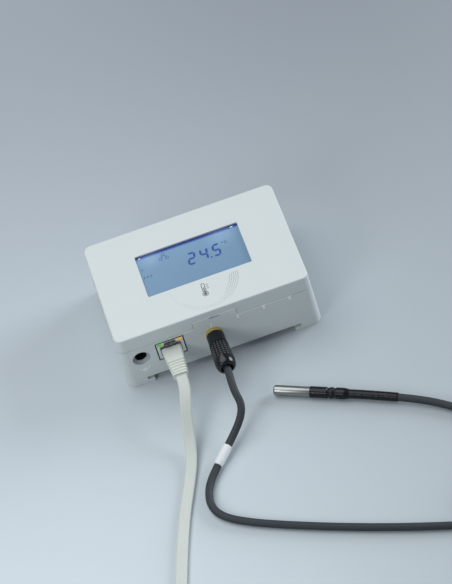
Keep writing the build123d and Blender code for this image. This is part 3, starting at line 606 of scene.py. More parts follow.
# Probe cable: the CAD's route, its first bend moved to the photo's, then the coil and the tail
CABLE_RADIUS = 2.1
CABLE_ROUNDNESS = 6
GLAND_LEAD = 6.5
gland = inner_end("probe_plug_gland")
cable_route = [
    tuple(gland), (gland.x, gland.y - GLAND_LEAD, gland.z), (-3.4, -77.6, 18.2), (-1.9, -84.8, 14.2),
    (-4.6, -90.4, 10.4), (-12.1, -97.2, 5.6), (-27.8, -113.2, 2.75), (-34.0, -122.6, 2.3),
    (-35.8, -133.5, 2.15), (-31.5, -142.5, 2.15), (-20.0, -151.0, 2.15), (-2.5, -160.5, 2.15),
    (22.0, -172.5, 2.15), (52.0, -185.8, 2.15), (86.5, -199.2, 2.15),
]
COIL_CENTRE = (127.5, -182.0)
# Turn in degrees, radius and height at each change of lane in the coil
COIL_LANES = [
    (259, 28.6, 2.15), (559, 28.6, 2.15), (619, 24.2, 2.15), (909, 24.2, 2.15), (969, 19.8, 2.15),
    (1214, 19.8, 2.15), (1264, 22.0, 5.85), (1560, 22.0, 5.85), (1620, 26.4, 5.85), (1848, 26.4, 5.85),
]
PROBE_TIP = mm(17.5, -74.7, 3.15)
PROBE_WAY = Vector((0.885, -0.466, 0)).normalized()
STEM_LENGTH = 40.0
stem_end = PROBE_TIP / MM + PROBE_WAY * STEM_LENGTH
cable_route += coil_points(COIL_LANES, COIL_CENTRE)
cable_route += [(127.0, -146.0, 3.4), (109.0, -129.6, 2.2), (86.5, -111.0, 3.15), tuple(stem_end)]
probe_cable = spline("probe_cable_round", cable_route)
cable_line = read_line(probe_cable)
tube = probe_cable.data
tube.bevel_depth = CABLE_RADIUS * MM
tube.bevel_resolution = CABLE_ROUNDNESS
tube.use_fill_caps = True
tube.materials.append(CABLE)
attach(probe_cable, "root")
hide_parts("probe_cable", "probe_cable_coil", "probe_cable_tail")

# White marker sleeve on the probe cable
MARKER_PLACE = mm(-16.2, -101.4, 4.8)
MARKER_LENGTH = 13
MARKER_RADIUS = 2.65
MARKER_EDGE = 0.3
MARKER_SEGMENTS = 40


def marker_piece():
    """Sleeve with softened ends that follows a stretch of the cable."""
    start = nearest(cable_line, MARKER_PLACE)
    end = start + MARKER_LENGTH * MM
    chosen = [(p, s) for p, s in zip(cable_line, line_lengths(cable_line)) if start <= s <= end]
    rings = []
    for index, (spot, s) in enumerate(chosen):
        before = chosen[max(index - 1, 0)][0]
        after = chosen[min(index + 1, len(chosen) - 1)][0]
        near_end = min(s - chosen[0][1], chosen[-1][1] - s) / MM
        radius = MARKER_RADIUS - max(0.0, MARKER_EDGE - near_end)
        rings.append(round_ring(spot, (after - before).normalized(), radius, MARKER_SEGMENTS))
    points, faces = skin(rings)
    return add_piece("cable_marker_sleeve", points, faces, MARKER,
                     stands_for=("cable_marker",))


marker = marker_piece()

# Probe: steel stem with a rounded tip, and a shrink sleeve with crimp marks
STEM_RADIUS = 2.85
STEM_POINT = 0.01
TIP_EDGE = 1.2
TIP_STEPS = 8
CRIMPS = (30.6, 34.0)
CRIMP_DENT = 0.5
CRIMP_HALF = 1.0
tip_profile = [(0.0, STEM_POINT), (0.0, STEM_RADIUS - TIP_EDGE)]
for k in range(1, TIP_STEPS + 1):
    bend = math.pi / 2 * k / TIP_STEPS
    tip_profile.append((TIP_EDGE * (1 - math.cos(bend)), STEM_RADIUS - TIP_EDGE * (1 - math.sin(bend))))
for crimp in CRIMPS:
    tip_profile.append((crimp - CRIMP_HALF, STEM_RADIUS))
    tip_profile.append((crimp, STEM_RADIUS - CRIMP_DENT))
    tip_profile.append((crimp + CRIMP_HALF, STEM_RADIUS))
stem = lathe("probe_stem_steel", PROBE_TIP, PROBE_WAY, tip_profile + [(STEM_LENGTH, STEM_RADIUS)],
             STEEL, stands_for=("probe_stem",))

# Sleeve: over the stem it is wide, then it necks down onto the cable
SLEEVE_RADIUS = 3.15
THIN_RADIUS = 2.52
SLEEVE_START = 20.3
NECK_START = 39.0
NECK_LENGTH = 3.5
SLEEVE_END = 68.8
SLEEVE_EDGE = 0.12
SLEEVE_STEPS = 150
SLEEVE_SEGMENTS = 48
PRESS_HALF = 0.9
WRINKLE = 0.05
WRINKLE_WAVES = (1.7, 0.53)


def sleeve_radius(along):
    """Radius of the sleeve at a distance from the probe's tip."""
    if along < NECK_START:
        near = min(abs(along - crimp) for crimp in CRIMPS)
        return SLEEVE_RADIUS - CRIMP_DENT * max(0.0, 1 - (near / PRESS_HALF) ** 2)
    if along < NECK_START + NECK_LENGTH:
        return between(SLEEVE_RADIUS, THIN_RADIUS, eased((along - NECK_START) / NECK_LENGTH))
    wave = math.sin(along * WRINKLE_WAVES[0]) * math.sin(along * WRINKLE_WAVES[1])
    return THIN_RADIUS + max(WRINKLE * wave, 0.0)


def on_probe(along):
    """Place and way on the probe's axis, and past its stem on the cable's line."""
    if along <= STEM_LENGTH:
        return PROBE_TIP + PROBE_WAY * along * MM, PROBE_WAY
    left = (along - STEM_LENGTH) * MM
    tail = cable_line[::-1]
    for a, b in zip(tail, tail[1:]):
        step = (b - a).length
        if left <= step:
            return a + (b - a) * (left / step), (b - a).normalized()
        left -= step


sleeve_rings = []
for k in range(SLEEVE_STEPS + 1):
    along = between(SLEEVE_START, SLEEVE_END, k / SLEEVE_STEPS)
    edge = SLEEVE_EDGE if k in (0, SLEEVE_STEPS) else 0.0
    spot, way = on_probe(along)
    sleeve_rings.append(round_ring(spot, way, sleeve_radius(along) - edge, SLEEVE_SEGMENTS))
points, faces = skin(sleeve_rings)
sleeve = add_piece("probe_sleeve_shrink", points, faces, SHRINK,
                   stands_for=("probe_sleeve",))

# Probe plug: smooth front sleeve
PLUG_BORE = 3.05
PLUG_RADIUS = 5.05
PLUG_EDGE = 0.2
PLUG_NECK = 4.8
NECK_STEP = 0.4
PLUG_SEGMENTS = 96
socket_front = inner_end("probe_plug_sleeve")
plug_length = reach_out("probe_plug_sleeve")
plug_profile = [
    (0.0, PLUG_BORE), (0.0, PLUG_RADIUS - PLUG_EDGE), (PLUG_EDGE, PLUG_RADIUS),
    (plug_length - NECK_STEP - PLUG_EDGE, PLUG_RADIUS), (plug_length - NECK_STEP, PLUG_NECK),
    (plug_length, PLUG_NECK), (plug_length, PLUG_BORE),
]
plug_sleeve = lathe("probe_plug_front", socket_front * MM, OUTWARDS, plug_profile, GRIP,
                    segments=PLUG_SEGMENTS, stands_for=("probe_plug_sleeve",))

# Probe plug: knurled grip
KNURL_START = 0.7
KNURL_PITCH = 1.5
KNURL_ROWS = 7
KNURL_COUNT = 18
KNURL_DEPTH = 0.6
KNURL_END = KNURL_START + KNURL_ROWS * KNURL_PITCH
BLOCK_HALF = 0.44
BLOCK_POWER = 4


def block(share):
    """Domed top of a knurl block, falling steeply to the grooves at both sides."""
    return max(0.0, 1 - (abs(share) / BLOCK_HALF) ** BLOCK_POWER)


def knurl(along, turn):
    """Depth of the crossing grooves at a place on the grip."""
    if not KNURL_START < along < KNURL_END:
        return 0.0
    row = (along - KNURL_START) / KNURL_PITCH % 1.0 - 0.5
    column = KNURL_COUNT * turn / (2 * math.pi) % 1.0 - 0.5
    return KNURL_DEPTH * (block(row) * block(column) - 1)


GRIP_HUB = 0.5
GRIP_FACE = 4.9
GRIP_EDGE = 0.25
GRIP_RINGS = 110
GRIP_MOUTH = 4.3
GRIP_LIP = (3.9, 3.5)
GRIP_BORE = 3.4
BORE_EDGE = 0.3
BORE_DEPTH = 4.9
BORE_END = 2.0
ROUND_STEPS = 12
ROUND_POWER = 2.2
ROUND_SHARE = 0.97
GRIP_SEGMENTS = 240
grip_front = socket_front + OUTWARDS * plug_length
grip_end = reach_out("probe_plug_grip")
grip_profile = [(0.0, GRIP_HUB), (0.0, GRIP_FACE), (GRIP_EDGE, GRIP_FRONT)]
for k in range(1, GRIP_RINGS):
    along = between(GRIP_EDGE, GRIP_LENGTH, k / GRIP_RINGS)
    grip_profile.append((along, between(GRIP_FRONT, GRIP_REAR, along / GRIP_LENGTH)))
for k in range(ROUND_STEPS + 1):
    bend = k / ROUND_STEPS
    drop = (GRIP_REAR - GRIP_MOUTH) * (1 - math.sqrt(max(0.0, 1 - bend ** ROUND_POWER)))
    grip_profile.append((between(GRIP_LENGTH, grip_end, bend * ROUND_SHARE), GRIP_REAR - drop))
grip_profile += [(grip_end, radius) for radius in GRIP_LIP]
grip_profile += [(grip_end - BORE_EDGE, GRIP_BORE), (grip_end - BORE_DEPTH, GRIP_BORE),
                 (grip_end - BORE_DEPTH, BORE_END)]
grip = lathe("probe_plug_knurled", grip_front * MM, OUTWARDS, grip_profile, GRIP,
             segments=GRIP_SEGMENTS, ripple=knurl, stands_for=("probe_plug_grip",))
# The knurl zone gets the finish with painted highlight on the block tops and painted shade in the
# grooves
grip.data.materials.append(KNURL_PAINTED_SHADE)
for face in grip.data.polygons:
    place = face.center / MM
    radius = math.hypot(place.x - grip_front.x, place.z - grip_front.z)
    if KNURL_START < grip_front.y - place.y < KNURL_END and radius > GRIP_MOUTH:
        face.material_index = 1

# Flat network cable: route as in the CAD, then the coil on edge and the curl to the far plug
FLAT_WIDTH = 6.4
FLAT_THICK = 2.2
FLAT_EDGE = 0.9
FLAT_LEAD = 7.6
FLAT_LIE = 1.2
boot_end = outer_end("network_plug_boot")
flat_route = [
    tuple(boot_end), (boot_end.x, boot_end.y - FLAT_LEAD, boot_end.z), (-30.4, -74.5, 16.2),
    (-32.7, -82.5, 10.2), (-34.5, -90.5, 5.4), (-37.4, -101.5, 2.1), (-42.4, -114.5, 1.2),
    (-50.0, -132.0, 1.2), (-57.0, -152.0, 1.2), (-65.0, -178.0, 1.2), (-73.0, -209.0, 1.2),
]
FLAT_ENTRY = Vector((-78.6, -236.4, 0))
FLAT_WAY = 258.5
FLAT_OUTER = 44.5
FLAT_INNER = 36.0
FLAT_PITCH = 2.8
CURL_RADIUS = 16.0
CURL_LEAD = 4.0
CURL_STEPS = 5
STUB = 21.0
# Share of the stub that is left, and the cable's height there as it rolls on edge
STUB_RISE = ((1.0, 1.25), (0.7, 2.6), (0.4, 3.5), (0.15, 3.4))
EDGE_HEIGHT = 3.3
FAR_HEIGHT = 5.84


def level_way(angle):
    """Level direction at an angle in radians."""
    return Vector((math.cos(angle), math.sin(angle), 0))


lead_way = level_way(math.radians(FLAT_WAY))
lead_left = Vector((-lead_way.y, lead_way.x, 0))
flat_centre = FLAT_ENTRY + lead_left * FLAT_OUTER
for share, height in STUB_RISE:
    spot = FLAT_ENTRY - lead_way * (STUB * share)
    flat_route.append((spot.x, spot.y, height))
first_turn = FLAT_WAY - 90
inner_turn = first_turn + 360 * (FLAT_OUTER - FLAT_INNER) / FLAT_PITCH
flat_lanes = [(first_turn, FLAT_OUTER, EDGE_HEIGHT), (inner_turn, FLAT_INNER, EDGE_HEIGHT)]
flat_route += coil_points(flat_lanes, flat_centre)
curl_across = math.sqrt(FLAT_INNER ** 2 - 2 * FLAT_INNER * CURL_RADIUS)
curl_angle = math.degrees(math.atan2(CURL_RADIUS, curl_across))
out_way = level_way(math.radians(inner_turn + curl_angle))
side_way = Vector((out_way.y, -out_way.x, 0))
curl_middle = flat_centre + out_way * curl_across + side_way * CURL_RADIUS
for step in range(CURL_STEPS + 1):
    share = step / CURL_STEPS
    angle = math.radians(inner_turn + share * (90 + curl_angle))
    spot = curl_middle + level_way(angle) * CURL_RADIUS
    flat_route.append((spot.x, spot.y, between(EDGE_HEIGHT, FAR_HEIGHT, share)))
far_mouth = flat_centre + out_way * (curl_across - CURL_LEAD)
flat_route.append((far_mouth.x, far_mouth.y, FAR_HEIGHT))
flat_spline = spline("flat_line", flat_route)
flat_line = read_line(flat_spline)
bpy.data.objects.remove(flat_spline)

# Flat network cable: its section and its roll
GROOVE_AT = 1.1
GROOVE_HALF = 0.15
GROOVE_DIP = 0.05
ARC_STEPS = 6
TWIST_LEAD = 1.05
twist_start = nearest(flat_line, mm(*(FLAT_ENTRY - lead_way * STUB * TWIST_LEAD)) + mm(0, 0, FLAT_LIE))
twist_end = nearest(flat_line, mm(*FLAT_ENTRY) + mm(0, 0, EDGE_HEIGHT))


def flat_section():
    """Outline of the flat cable: round edges and two faint grooves each side."""
    side = FLAT_WIDTH / 2 - FLAT_EDGE
    thick = FLAT_THICK / 2
    half_way = ARC_STEPS // 2
    top = [(-side, thick)]
    for groove in (-GROOVE_AT, GROOVE_AT):
        top.append((groove - GROOVE_HALF, thick))
        top.append((groove, thick - GROOVE_DIP))
        top.append((groove + GROOVE_HALF, thick))
    top.append((side, thick))
    for k in range(1, ARC_STEPS):
        bend = math.pi / 2 - math.pi * k / ARC_STEPS
        lift = (thick - FLAT_EDGE) * ((k < half_way) - (k > half_way))
        top.append((side + FLAT_EDGE * math.cos(bend), lift + FLAT_EDGE * math.sin(bend)))
    return top + [(-across, -up) for across, up in top]


def flat_roll(s):
    """Roll of the flat cable in radians at a distance along it."""
    share = min(1.0, max(0.0, (s - twist_start) / (twist_end - twist_start)))
    return math.pi / 2 * eased(share)


def flat_piece():
    """The flat cable's section carried along its line."""
    section = flat_section()
    last = len(flat_line) - 1
    rings = []
    for index, (spot, s) in enumerate(zip(flat_line, line_lengths(flat_line))):
        way = (flat_line[min(index + 1, last)] - flat_line[max(index - 1, 0)]).normalized()
        side = way.cross(UP).normalized()
        up = side.cross(way)
        roll = flat_roll(s)
        across = side * math.cos(roll) + up * math.sin(roll)
        normal = up * math.cos(roll) - side * math.sin(roll)
        rings.append([spot + (across * a + normal * b) * MM for a, b in section])
    points, faces = skin(rings)
    return add_piece("network_cable_flat", points, faces, GREY,
                     stands_for=("network_cable", "network_cable_coil", "network_cable_tail"))


network_cable = flat_piece()

# Boots of the network plugs: a tapering moulded sleeve with ribs
BOOT_LENGTH = reach_out("network_plug_boot")
BOOT_FRONT = (11.4, 7.0)
BOOT_REAR = (8.6, 5.0)
BOOT_CORNERS = (1.5, 1.1)
CORNER_STEPS = 6
RIB_FIRST = 10.2
RIB_PITCH = 1.85
RIB_COUNT = 5
RIB_GAP = 0.6
RIB_DEPTH = 0.45
# Distance from the front, from a groove's side or from the rear, and how far the boot draws in there
FRONT_EDGE = ((0.0, 0.35), (0.15, 0.1), (0.4, 0.0), (4.0, 0.0), (8.0, 0.0))
GROOVE_EDGE = ((-0.18, 0.0), (-0.04, 0.08), (0.06, RIB_DEPTH))
REAR_EDGE = ((0.4, 0.0), (0.12, 0.1), (0.0, 0.4))


def rounded_box(width, height, corner):
    """Outline of a box with round corners."""
    outline = []
    for sx, sy, start in ((1, 1, 0), (-1, 1, 90), (-1, -1, 180), (1, -1, 270)):
        for k in range(CORNER_STEPS + 1):
            angle = math.radians(start + 90 * k / CORNER_STEPS)
            outline.append((sx * (width / 2 - corner) + corner * math.cos(angle),
                            sy * (height / 2 - corner) + corner * math.sin(angle)))
    return outline


def boot_piece(name, origin, way, across, stands_for):
    """Boot from the plug's face along the cable's way out."""
    normal = way.cross(across)
    stations = list(FRONT_EDGE)
    for rib in range(RIB_COUNT):
        start = RIB_FIRST + rib * RIB_PITCH
        stations += [(start + step, dip) for step, dip in GROOVE_EDGE]
        stations += [(start + RIB_GAP - step, dip) for step, dip in reversed(GROOVE_EDGE)]
    stations += [(BOOT_LENGTH - step, dip) for step, dip in REAR_EDGE]
    rings = []
    for along, dip in stations:
        share = along / BOOT_LENGTH
        width = between(BOOT_FRONT[0], BOOT_REAR[0], share) - 2 * dip
        height = between(BOOT_FRONT[1], BOOT_REAR[1], share) - 2 * dip
        outline = rounded_box(width, height, between(*BOOT_CORNERS, share))
        rings.append([origin + (way * along + across * a + normal * b) * MM for a, b in outline])
    points, faces = skin(rings)
    return add_piece(name, points, faces, BOOT, stands_for=stands_for)


boot = boot_piece("network_boot_ribbed", inner_end("network_plug_boot") * MM, OUTWARDS,
                  Vector((1, 0, 0)), ("network_plug_boot",))
far_origin = (far_mouth - out_way * BOOT_LENGTH + Vector((0, 0, FAR_HEIGHT))) * MM
far_boot = boot_piece("far_boot_ribbed", far_origin, out_way, UP, ("far_plug_boot",))

# Thin shapes on a surface
MARK_RISE = 0.03
PRINT_SUNK = 0.02
WALL_SUNK = 0.05


def raised_shapes(name, shapes, place, sunk, rise, look):
    """Thin shapes on a surface: outlines in millimetres, and how far they go in and stand out."""
    points = []
    faces = []
    for shape in shapes:
        first = len(points)
        count = len(shape)
        points += [place @ mm(x, y, -sunk) for x, y in shape]
        points += [place @ mm(x, y, rise) for x, y in shape]
        faces.append(tuple(reversed(range(first, first + count))))
        faces.append(tuple(range(first + count, first + 2 * count)))
        for k in range(count):
            after = (k + 1) % count
            faces.append((first + k, first + after, first + count + after, first + count + k))
    add_piece(name, points, faces, look, smooth=False)


def level_shapes(name, shapes, height, look, sunk=0.0):
    """Thin printed shapes on a level surface."""
    place = Matrix.Translation(mm(0, 0, height))
    raised_shapes(name, shapes, place, sunk, MARK_RISE - sunk / 2, look)


def bar(x0, y0, x1, y1, stroke):
    """Bar with pointed ends between two places."""
    way = Vector((x1 - x0, y1 - y0)).normalized()
    side = Vector((-way.y, way.x)) * stroke / 2
    tip = way * stroke / 2
    a = Vector((x0, y0))
    b = Vector((x1, y1))
    return [a, a + tip - side, b - tip - side, b, b - tip + side, a + tip + side]


def arc(x, y, radius, turns):
    """Places on a circle at some turns in radians."""
    return [(x + radius * math.cos(t), y + radius * math.sin(t)) for t in turns]


def disc(x, y, radius, count=20):
    """Round spot."""
    return arc(x, y, radius, [2 * math.pi * k / count for k in range(count)])


def ring_shapes(x, y, inner, outer, start=0, end=360, count=10):
    """Two halves of a ring, or of a part of one between two angles."""
    half_way = (start + end) / 2
    shapes = []
    for first, last in ((start, half_way), (half_way, end)):
        turns = [math.radians(first + (last - first) * k / count) for k in range(count + 1)]
        shapes.append(arc(x, y, outer, turns) + arc(x, y, inner, reversed(turns)))
    return shapes


# Display marks: seven-segment digits, a degree mark and a small network sign
SEGMENTS = {"2": "abged", "4": "fgbc", "5": "afgcd"}
SEGMENT_GAP = 0.08
DIGIT_WIDTH = 4.8
DIGIT_HEIGHT = 9.0
STROKE = 1.25
SLANT = 0.1
READING = (("2", -2.75), ("4", 4.45), ("5", 11.75))
READING_BASE = -0.4
POINT_PLACE = (10.3, 0.3)
POINT_RADIUS = 0.55


def digit_shapes(digit, left):
    """Bars of one digit of the reading."""
    w = DIGIT_WIDTH / 2
    h = DIGIT_HEIGHT / 2
    x = w - STROKE / 2
    y = h - STROKE / 2
    ends = {
        "a": (-x, y, x, y), "d": (-x, -y, x, -y), "g": (-x, 0, x, 0), "f": (-x, 0, -x, y),
        "b": (x, 0, x, y), "e": (-x, -y, -x, 0), "c": (x, -y, x, 0),
    }
    shapes = []
    for segment in SEGMENTS[digit]:
        x0, y0, x1, y1 = ends[segment]
        gap_x = SEGMENT_GAP if x1 > x0 else 0
        gap_y = SEGMENT_GAP if y1 > y0 else 0
        shape = bar(x0 + gap_x, y0 + gap_y, x1 - gap_x, y1 - gap_y, STROKE)
        shapes.append([(left + w + p.x + SLANT * p.y, READING_BASE + h + p.y) for p in shape])
    return shapes


digits = []
for digit, left in READING:
    digits += digit_shapes(digit, left)
digits.append(disc(*POINT_PLACE, POINT_RADIUS))
level_shapes("display_digits", digits, LCD_TOP, DIGIT)

# Small marks: middle and radii of each ring, and the ends of each bar
DEGREE_RING = (18.5, 8.0, 0.3, 0.6)
UNIT_RING = (20.6, 7.5, 0.6, 1.0, 45, 315)
NETWORK_POINTS = ((-16.6, 11.2), (-12.9, 11.0), (-14.6, 13.8))
NETWORK_RADII = (0.7, 1.1)
NETWORK_LINKS = ((-16.0, 12.0, -15.1, 13.0), (-14.1, 13.0, -13.4, 11.9))
UPPER_MARK = (-28.3, 6.9, -28.1, 8.7)
LOWER_MARKS = (-28.6, -26.7, -24.8)
LOWER_STEM = (0.0, 0.9, 0.2, 2.9)
LOWER_ARM = (0.2, 2.0, 1.2, 2.0)
BOLD = 0.5
FINE = 0.4
marks = ring_shapes(*DEGREE_RING) + ring_shapes(*UNIT_RING)
for x, y in NETWORK_POINTS:
    marks += ring_shapes(x, y, *NETWORK_RADII)
marks += [bar(*ends, FINE) for ends in NETWORK_LINKS]
marks.append(bar(*UPPER_MARK, BOLD))
for x in LOWER_MARKS:
    for (x0, y0, x1, y1), stroke in ((LOWER_STEM, BOLD), (LOWER_ARM, FINE)):
        marks.append(bar(x + x0, y0, x + x1, y1, stroke))
level_shapes("display_marks", marks, LCD_TOP, FAINT)

# Light that leaks in at the display's top corners: the ends and width of each streak
LIGHT_SPOTS = ((-28.4, 16.3, -27.0, 16.6, 0.5), (25.4, 16.5, 27.2, 16.7, 0.6))
spots = [bar(*spot) for spot in LIGHT_SPOTS]
level_shapes("display_light_spots", spots, LCD_TOP, SPOT)

# Plain thermometer sign on the face, under the window
FACE = high("front_cover").z
BULB = -24.4
BULB_RADII = (1.35, 1.75)
BULB_FILL = 0.95
TUBE_HALF = 0.85
TUBE_ENDS = (-23.2, -17.4)
TUBE_TOP = (0.0, -17.6, 0.65, 1.05, 0, 180)
COLUMN_ENDS = (-23.6, -19.6)
SCALE_MARKS = (-18.2, -19.6, -21.0)
SCALE_ENDS = (1.6, 2.9)
sign = ring_shapes(0.0, BULB, *BULB_RADII) + ring_shapes(*TUBE_TOP)
sign += [bar(x, TUBE_ENDS[0], x, TUBE_ENDS[1], FINE) for x in (-TUBE_HALF, TUBE_HALF)]
sign += [disc(0.0, BULB, BULB_FILL), bar(0.0, COLUMN_ENDS[0], 0.0, COLUMN_ENDS[1], BOLD)]
sign += [bar(SCALE_ENDS[0], y, SCALE_ENDS[1], y, FINE) for y in SCALE_MARKS]
level_shapes("face_sign", sign, FACE, PRINT, PRINT_SUNK)

# Dotted arc printed round the sign, wider and bolder to the right
ARC_CENTRE = (1.2, -15.2)
# Radius of each row of dots and the angle where it starts
ARC_ROWS = ((19.4, 183), (18.2, 215), (17.0, 290), (15.8, 305), (14.6, 315))
ARC_END = 360
ARC_BOLDER = 270
DOT_STEP = 1.15
DOT_SMALL = 0.16
DOT_LARGE = 0.30
DOT_SIDES = 8
dots = []
for radius, start in ARC_ROWS:
    step = math.degrees(DOT_STEP / radius)
    for k in range(int((ARC_END - start) / step)):
        turn = start + k * step
        bolder = max(0.0, (turn - ARC_BOLDER) / (ARC_END - ARC_BOLDER))
        x, y = arc(*ARC_CENTRE, radius, [math.radians(turn)])[0]
        dots.append(disc(x, y, between(DOT_SMALL, DOT_LARGE, bolder), DOT_SIDES))
level_shapes("face_dots", dots, FACE, DOTS, PRINT_SUNK)

# Connector side: its wall leans a little
DEPTH = 39.0
FACE_HALF = 37.1
SIDE_LEAN = 1.1
LEAN = math.atan(SIDE_LEAN / DEPTH)


def wall_y(z):
    """Place of the connector side's surface at a height."""
    return -(FACE_HALF + SIDE_LEAN * (1 - z / DEPTH))


def wall_matrix(x, z):
    """Frame on the connector side: x along it, y up it, z out of it."""
    up = Vector((0, math.sin(LEAN), math.cos(LEAN)))
    out = Vector((0, -math.cos(LEAN), math.sin(LEAN)))
    rows = Matrix((Vector((1, 0, 0)), up, out)).transposed().to_4x4()
    return Matrix.Translation(mm(x, wall_y(z), z)) @ rows


# Raised port numbers on the connector side, in a paler white as painted highlight
PORTS = (("1", -2.8), ("2", 12.5), ("3", 27.5), ("4", 42.4))
PORT_HEIGHT = 27.5
TEXT_SIZE = 3.4
TEXT_RISE = 0.3
TEXT_SWELL = 0.08
TEXT_BEVEL = 0.05
TEXT_STEPS = 4
WELD = 0.03


def port_number(number, x):
    """Raised number on the connector side, with tiny edges and doubled points welded; paler than the
    wall, as painted highlight.
    """
    name = "port_number_" + number
    data = bpy.data.curves.new(name, "FONT")
    data.body = number
    data.size = TEXT_SIZE * MM
    data.extrude = TEXT_RISE * MM
    data.offset = TEXT_SWELL * MM
    data.bevel_depth = TEXT_BEVEL * MM
    data.bevel_resolution = 1
    data.resolution_u = TEXT_STEPS
    data.align_x = "CENTER"
    data.align_y = "CENTER"
    source = add_object(name + "_source", data)
    mesh = bpy.data.meshes.new_from_object(source)
    bpy.data.objects.remove(source)
    clean = bmesh.new()
    clean.from_mesh(mesh)
    bmesh.ops.remove_doubles(clean, verts=clean.verts, dist=WELD * MM)
    bmesh.ops.dissolve_degenerate(clean, edges=clean.edges, dist=WELD * MM)
    clean.to_mesh(mesh)
    clean.free()
    mesh.transform(wall_matrix(x, PORT_HEIGHT))
    place_piece(name, mesh, RAISED_HIGHLIGHT)


for number, x in PORTS:
    port_number(number, x)

# Raised polarity sign by the power jack, in a paler white as painted highlight
POLARITY_PLACE = (-44.5, 11.6)
POLARITY_RISE = 0.28
POLARITY_STROKE = 0.3
POLARITY_RING = (0, 0, 0.85, 1.15, 40, 320)
POLARITY_SPOT = 0.45
# Ends of the two leads and of the plus and minus signs
POLARITY_BARS = (
    (0.4, 0, 2.2, 0), (-2.2, 0, -1.1, 0),
    (2.6, -0.6, 2.6, 0.6), (2.0, 1.1, 3.2, 1.1), (-3.2, 1.1, -2.0, 1.1),
)
polarity = ring_shapes(*POLARITY_RING) + [disc(0, 0, POLARITY_SPOT)]
polarity += [bar(*ends, POLARITY_STROKE) for ends in POLARITY_BARS]
raised_shapes("polarity_sign", polarity, wall_matrix(*POLARITY_PLACE), WALL_SUNK, POLARITY_RISE,
              RAISED_HIGHLIGHT)

# Raised edge of the base along its seam, from the network jack past the release tab, in a paler white
# as painted highlight
SEAM = 29.3
SEAM_START = -18.6
SEAM_END = 44.0
SEAM_WIDTH = 0.4
SEAM_RISE = 0.12
TAB_HALF = 12.5
TAB_TOP = high("rear_base").z
# Start, end and height of each run of the edge
SEAM_RUNS = ((SEAM_START, -TAB_HALF, SEAM), (-TAB_HALF, TAB_HALF, TAB_TOP), (TAB_HALF, SEAM_END, SEAM))
edges = []
for start, end, top in SEAM_RUNS:
    y = top - SEAM_WIDTH / 2
    edges.append(bar(start, y, end, y, SEAM_WIDTH))
raised_shapes("seam_edge_highlight", edges, wall_matrix(0, 0), WALL_SUNK, SEAM_RISE, RAISED_HIGHLIGHT)

# Dark frame on the front of the network jack's tin shield: painted shade of the gap round the shield
SHADE_FRAME_WIDTH = 0.45
SHADE_FRAME_RISE = 0.06


def shield_shade_frame():
    """Square dark frame on the shield's front, painted shade of the gap round it."""
    front = outer_end("network_jack_shield")
    half = high("network_jack_shield") - front
    points = []
    for y in (front.y + SHADE_FRAME_RISE, front.y - SHADE_FRAME_RISE):
        for inset in (0.0, SHADE_FRAME_WIDTH):
            for sx, sz in CORNERS:
                points.append(mm(front.x + sx * (half.x - inset), y, front.z + sz * (half.z - inset)))
    faces = []
    for k in range(4):
        after = (k + 1) % 4
        faces.append((8 + k, 8 + after, 12 + after, 12 + k))
        faces.append((k, after, 8 + after, 8 + k))
        faces.append((4 + after, 4 + k, 12 + k, 12 + after))
        faces.append((4 + k, 4 + after, after, k))
    add_piece("jack_gap_painted_shade", points, faces, SHIELD_GAP_SHADE, smooth=False)


shield_shade_frame()

# Darker grey sheet inside the power jack's mouth, painted shade of the recess: outer and inner radius
# at the wall and at the jack
MOUTH_FRONT = (4.95, 4.85)
MOUTH_BACK = (3.42, 3.37)
MOUTH_DEPTH = 1.8
MOUTH_SET = 0.1
jack_axis = middle("power_jack_pin")
mouth_profile = [(0.0, MOUTH_FRONT[0]), (MOUTH_DEPTH, MOUTH_BACK[0]),
                 (MOUTH_DEPTH, MOUTH_BACK[1]), (0.0, MOUTH_FRONT[1])]
lathe("power_mouth_painted_shade", mm(jack_axis.x, wall_y(jack_axis.z) + MOUTH_SET, jack_axis.z), -OUTWARDS,
      mouth_profile, SHADE, caps=False)

# Floor: pale blue-grey paper, with painted light falloff
FLOOR_HALF = 3.0
FLOOR_HEIGHT = -1e-4
# Place along y and colour there, in front and behind: painted light falloff, darker behind
FLOOR_LIT_FRONT = (-0.22, (0.565, 0.625, 0.655))
FLOOR_SHADED_BACK = (0.30, (0.345, 0.377, 0.415))
# Place along x and tone there, at the left and the right: painted light falloff, darker to the right
FLOOR_LIT_LEFT = (-0.12, 1.05)
FLOOR_SHADED_RIGHT = (0.17, 0.78)


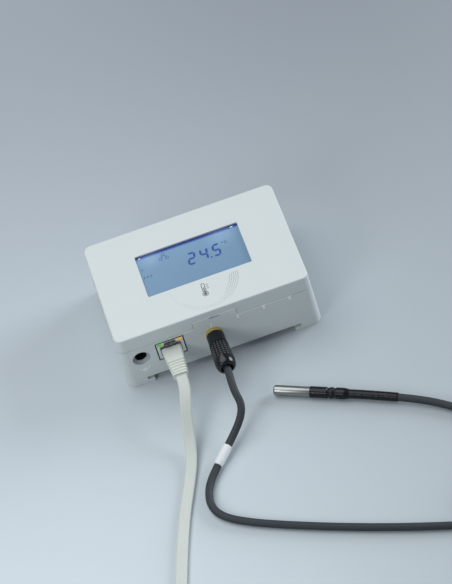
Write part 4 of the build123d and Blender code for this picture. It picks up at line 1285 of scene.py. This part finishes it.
def floor_falloff_look():
    """Matt paper with painted light falloff: darker behind the object and to its right."""
    made = material("floor_painted_falloff", (0.5, 0.5, 0.5), (0.85, 0.95), (0.05, 1e-5, 500), (0.02, 8), ior=1.12)
    tree = made.node_tree
    place = parts_of(tree, own_place(tree))
    back_shade = carried(tree, place["Y"], FLOOR_LIT_FRONT[0], FLOOR_SHADED_BACK[0], smooth=True)
    tint = blended(tree, back_shade, (*FLOOR_LIT_FRONT[1], 1), (*FLOOR_SHADED_BACK[1], 1))
    right_shade = carried(tree, place["X"], FLOOR_LIT_LEFT[0], FLOOR_SHADED_RIGHT[0], FLOOR_LIT_LEFT[1], FLOOR_SHADED_RIGHT[1],
                    smooth=True)
    mottle = look_socket(made, "Base Color").links[0].from_node
    feed(tree, mottle, {"Colour": scaled(tree, tint, right_shade)})
    return made


floor_mesh = bpy.data.meshes.new("floor")
floor_corners = [(sx * FLOOR_HALF, sy * FLOOR_HALF, FLOOR_HEIGHT) for sx, sy in CORNERS]
floor_mesh.from_pydata(floor_corners, [], [(0, 1, 2, 3)])
floor_mesh.materials.append(floor_falloff_look())
floor = add_object("floor", floor_mesh)

# Light: soft key from above, small fill in front and a cool rim from the right
SKY_COLOUR = (0.82, 0.89, 1.0, 1)
SKY_STRENGTH = 0.26
world = bpy.data.worlds.new("studio")
scene.world = world
world.use_nodes = True
sky = world.node_tree.nodes["Background"]
feed(world.node_tree, sky, {"Color": SKY_COLOUR, "Strength": SKY_STRENGTH})


def area_light(name, place, aim, size, power, colour):
    """Square soft light, in metres and watts, turned to a place."""
    data = bpy.data.lights.new(name, "AREA")
    data.size = size
    data.energy = power
    data.color = colour
    made = add_object(name, data)
    made.location = place
    made.rotation_euler = (Vector(aim) - Vector(place)).to_track_quat("-Z", "Y").to_euler()


area_light("key", place=(-0.45, 0.5, 1.6), aim=(0, -0.03, 0),
           size=1.7, power=19.8, colour=(0.97, 0.99, 1.0))
area_light("fill", place=(-0.42, -0.38, 0.36), aim=(-0.05, -0.05, 0),
           size=0.25, power=1.1, colour=(0.95, 0.98, 1.0))
area_light("rim", place=(1.5, 0.34, 0.55), aim=(0, -0.02, 0.02),
           size=0.85, power=21, colour=(0.90, 0.95, 1.0))

# Softened edges of the two shells
SHELL_ROUNDING = 0.15
SHELL_STEPS = 2
SHELL_ANGLE = 50
for name in ("front_cover", "rear_base"):
    edge = nodes[name].modifiers.new("edge", "BEVEL")
    edge.width = SHELL_ROUNDING * MM
    edge.segments = SHELL_STEPS
    edge.limit_method = "ANGLE"
    edge.angle_limit = math.radians(SHELL_ANGLE)
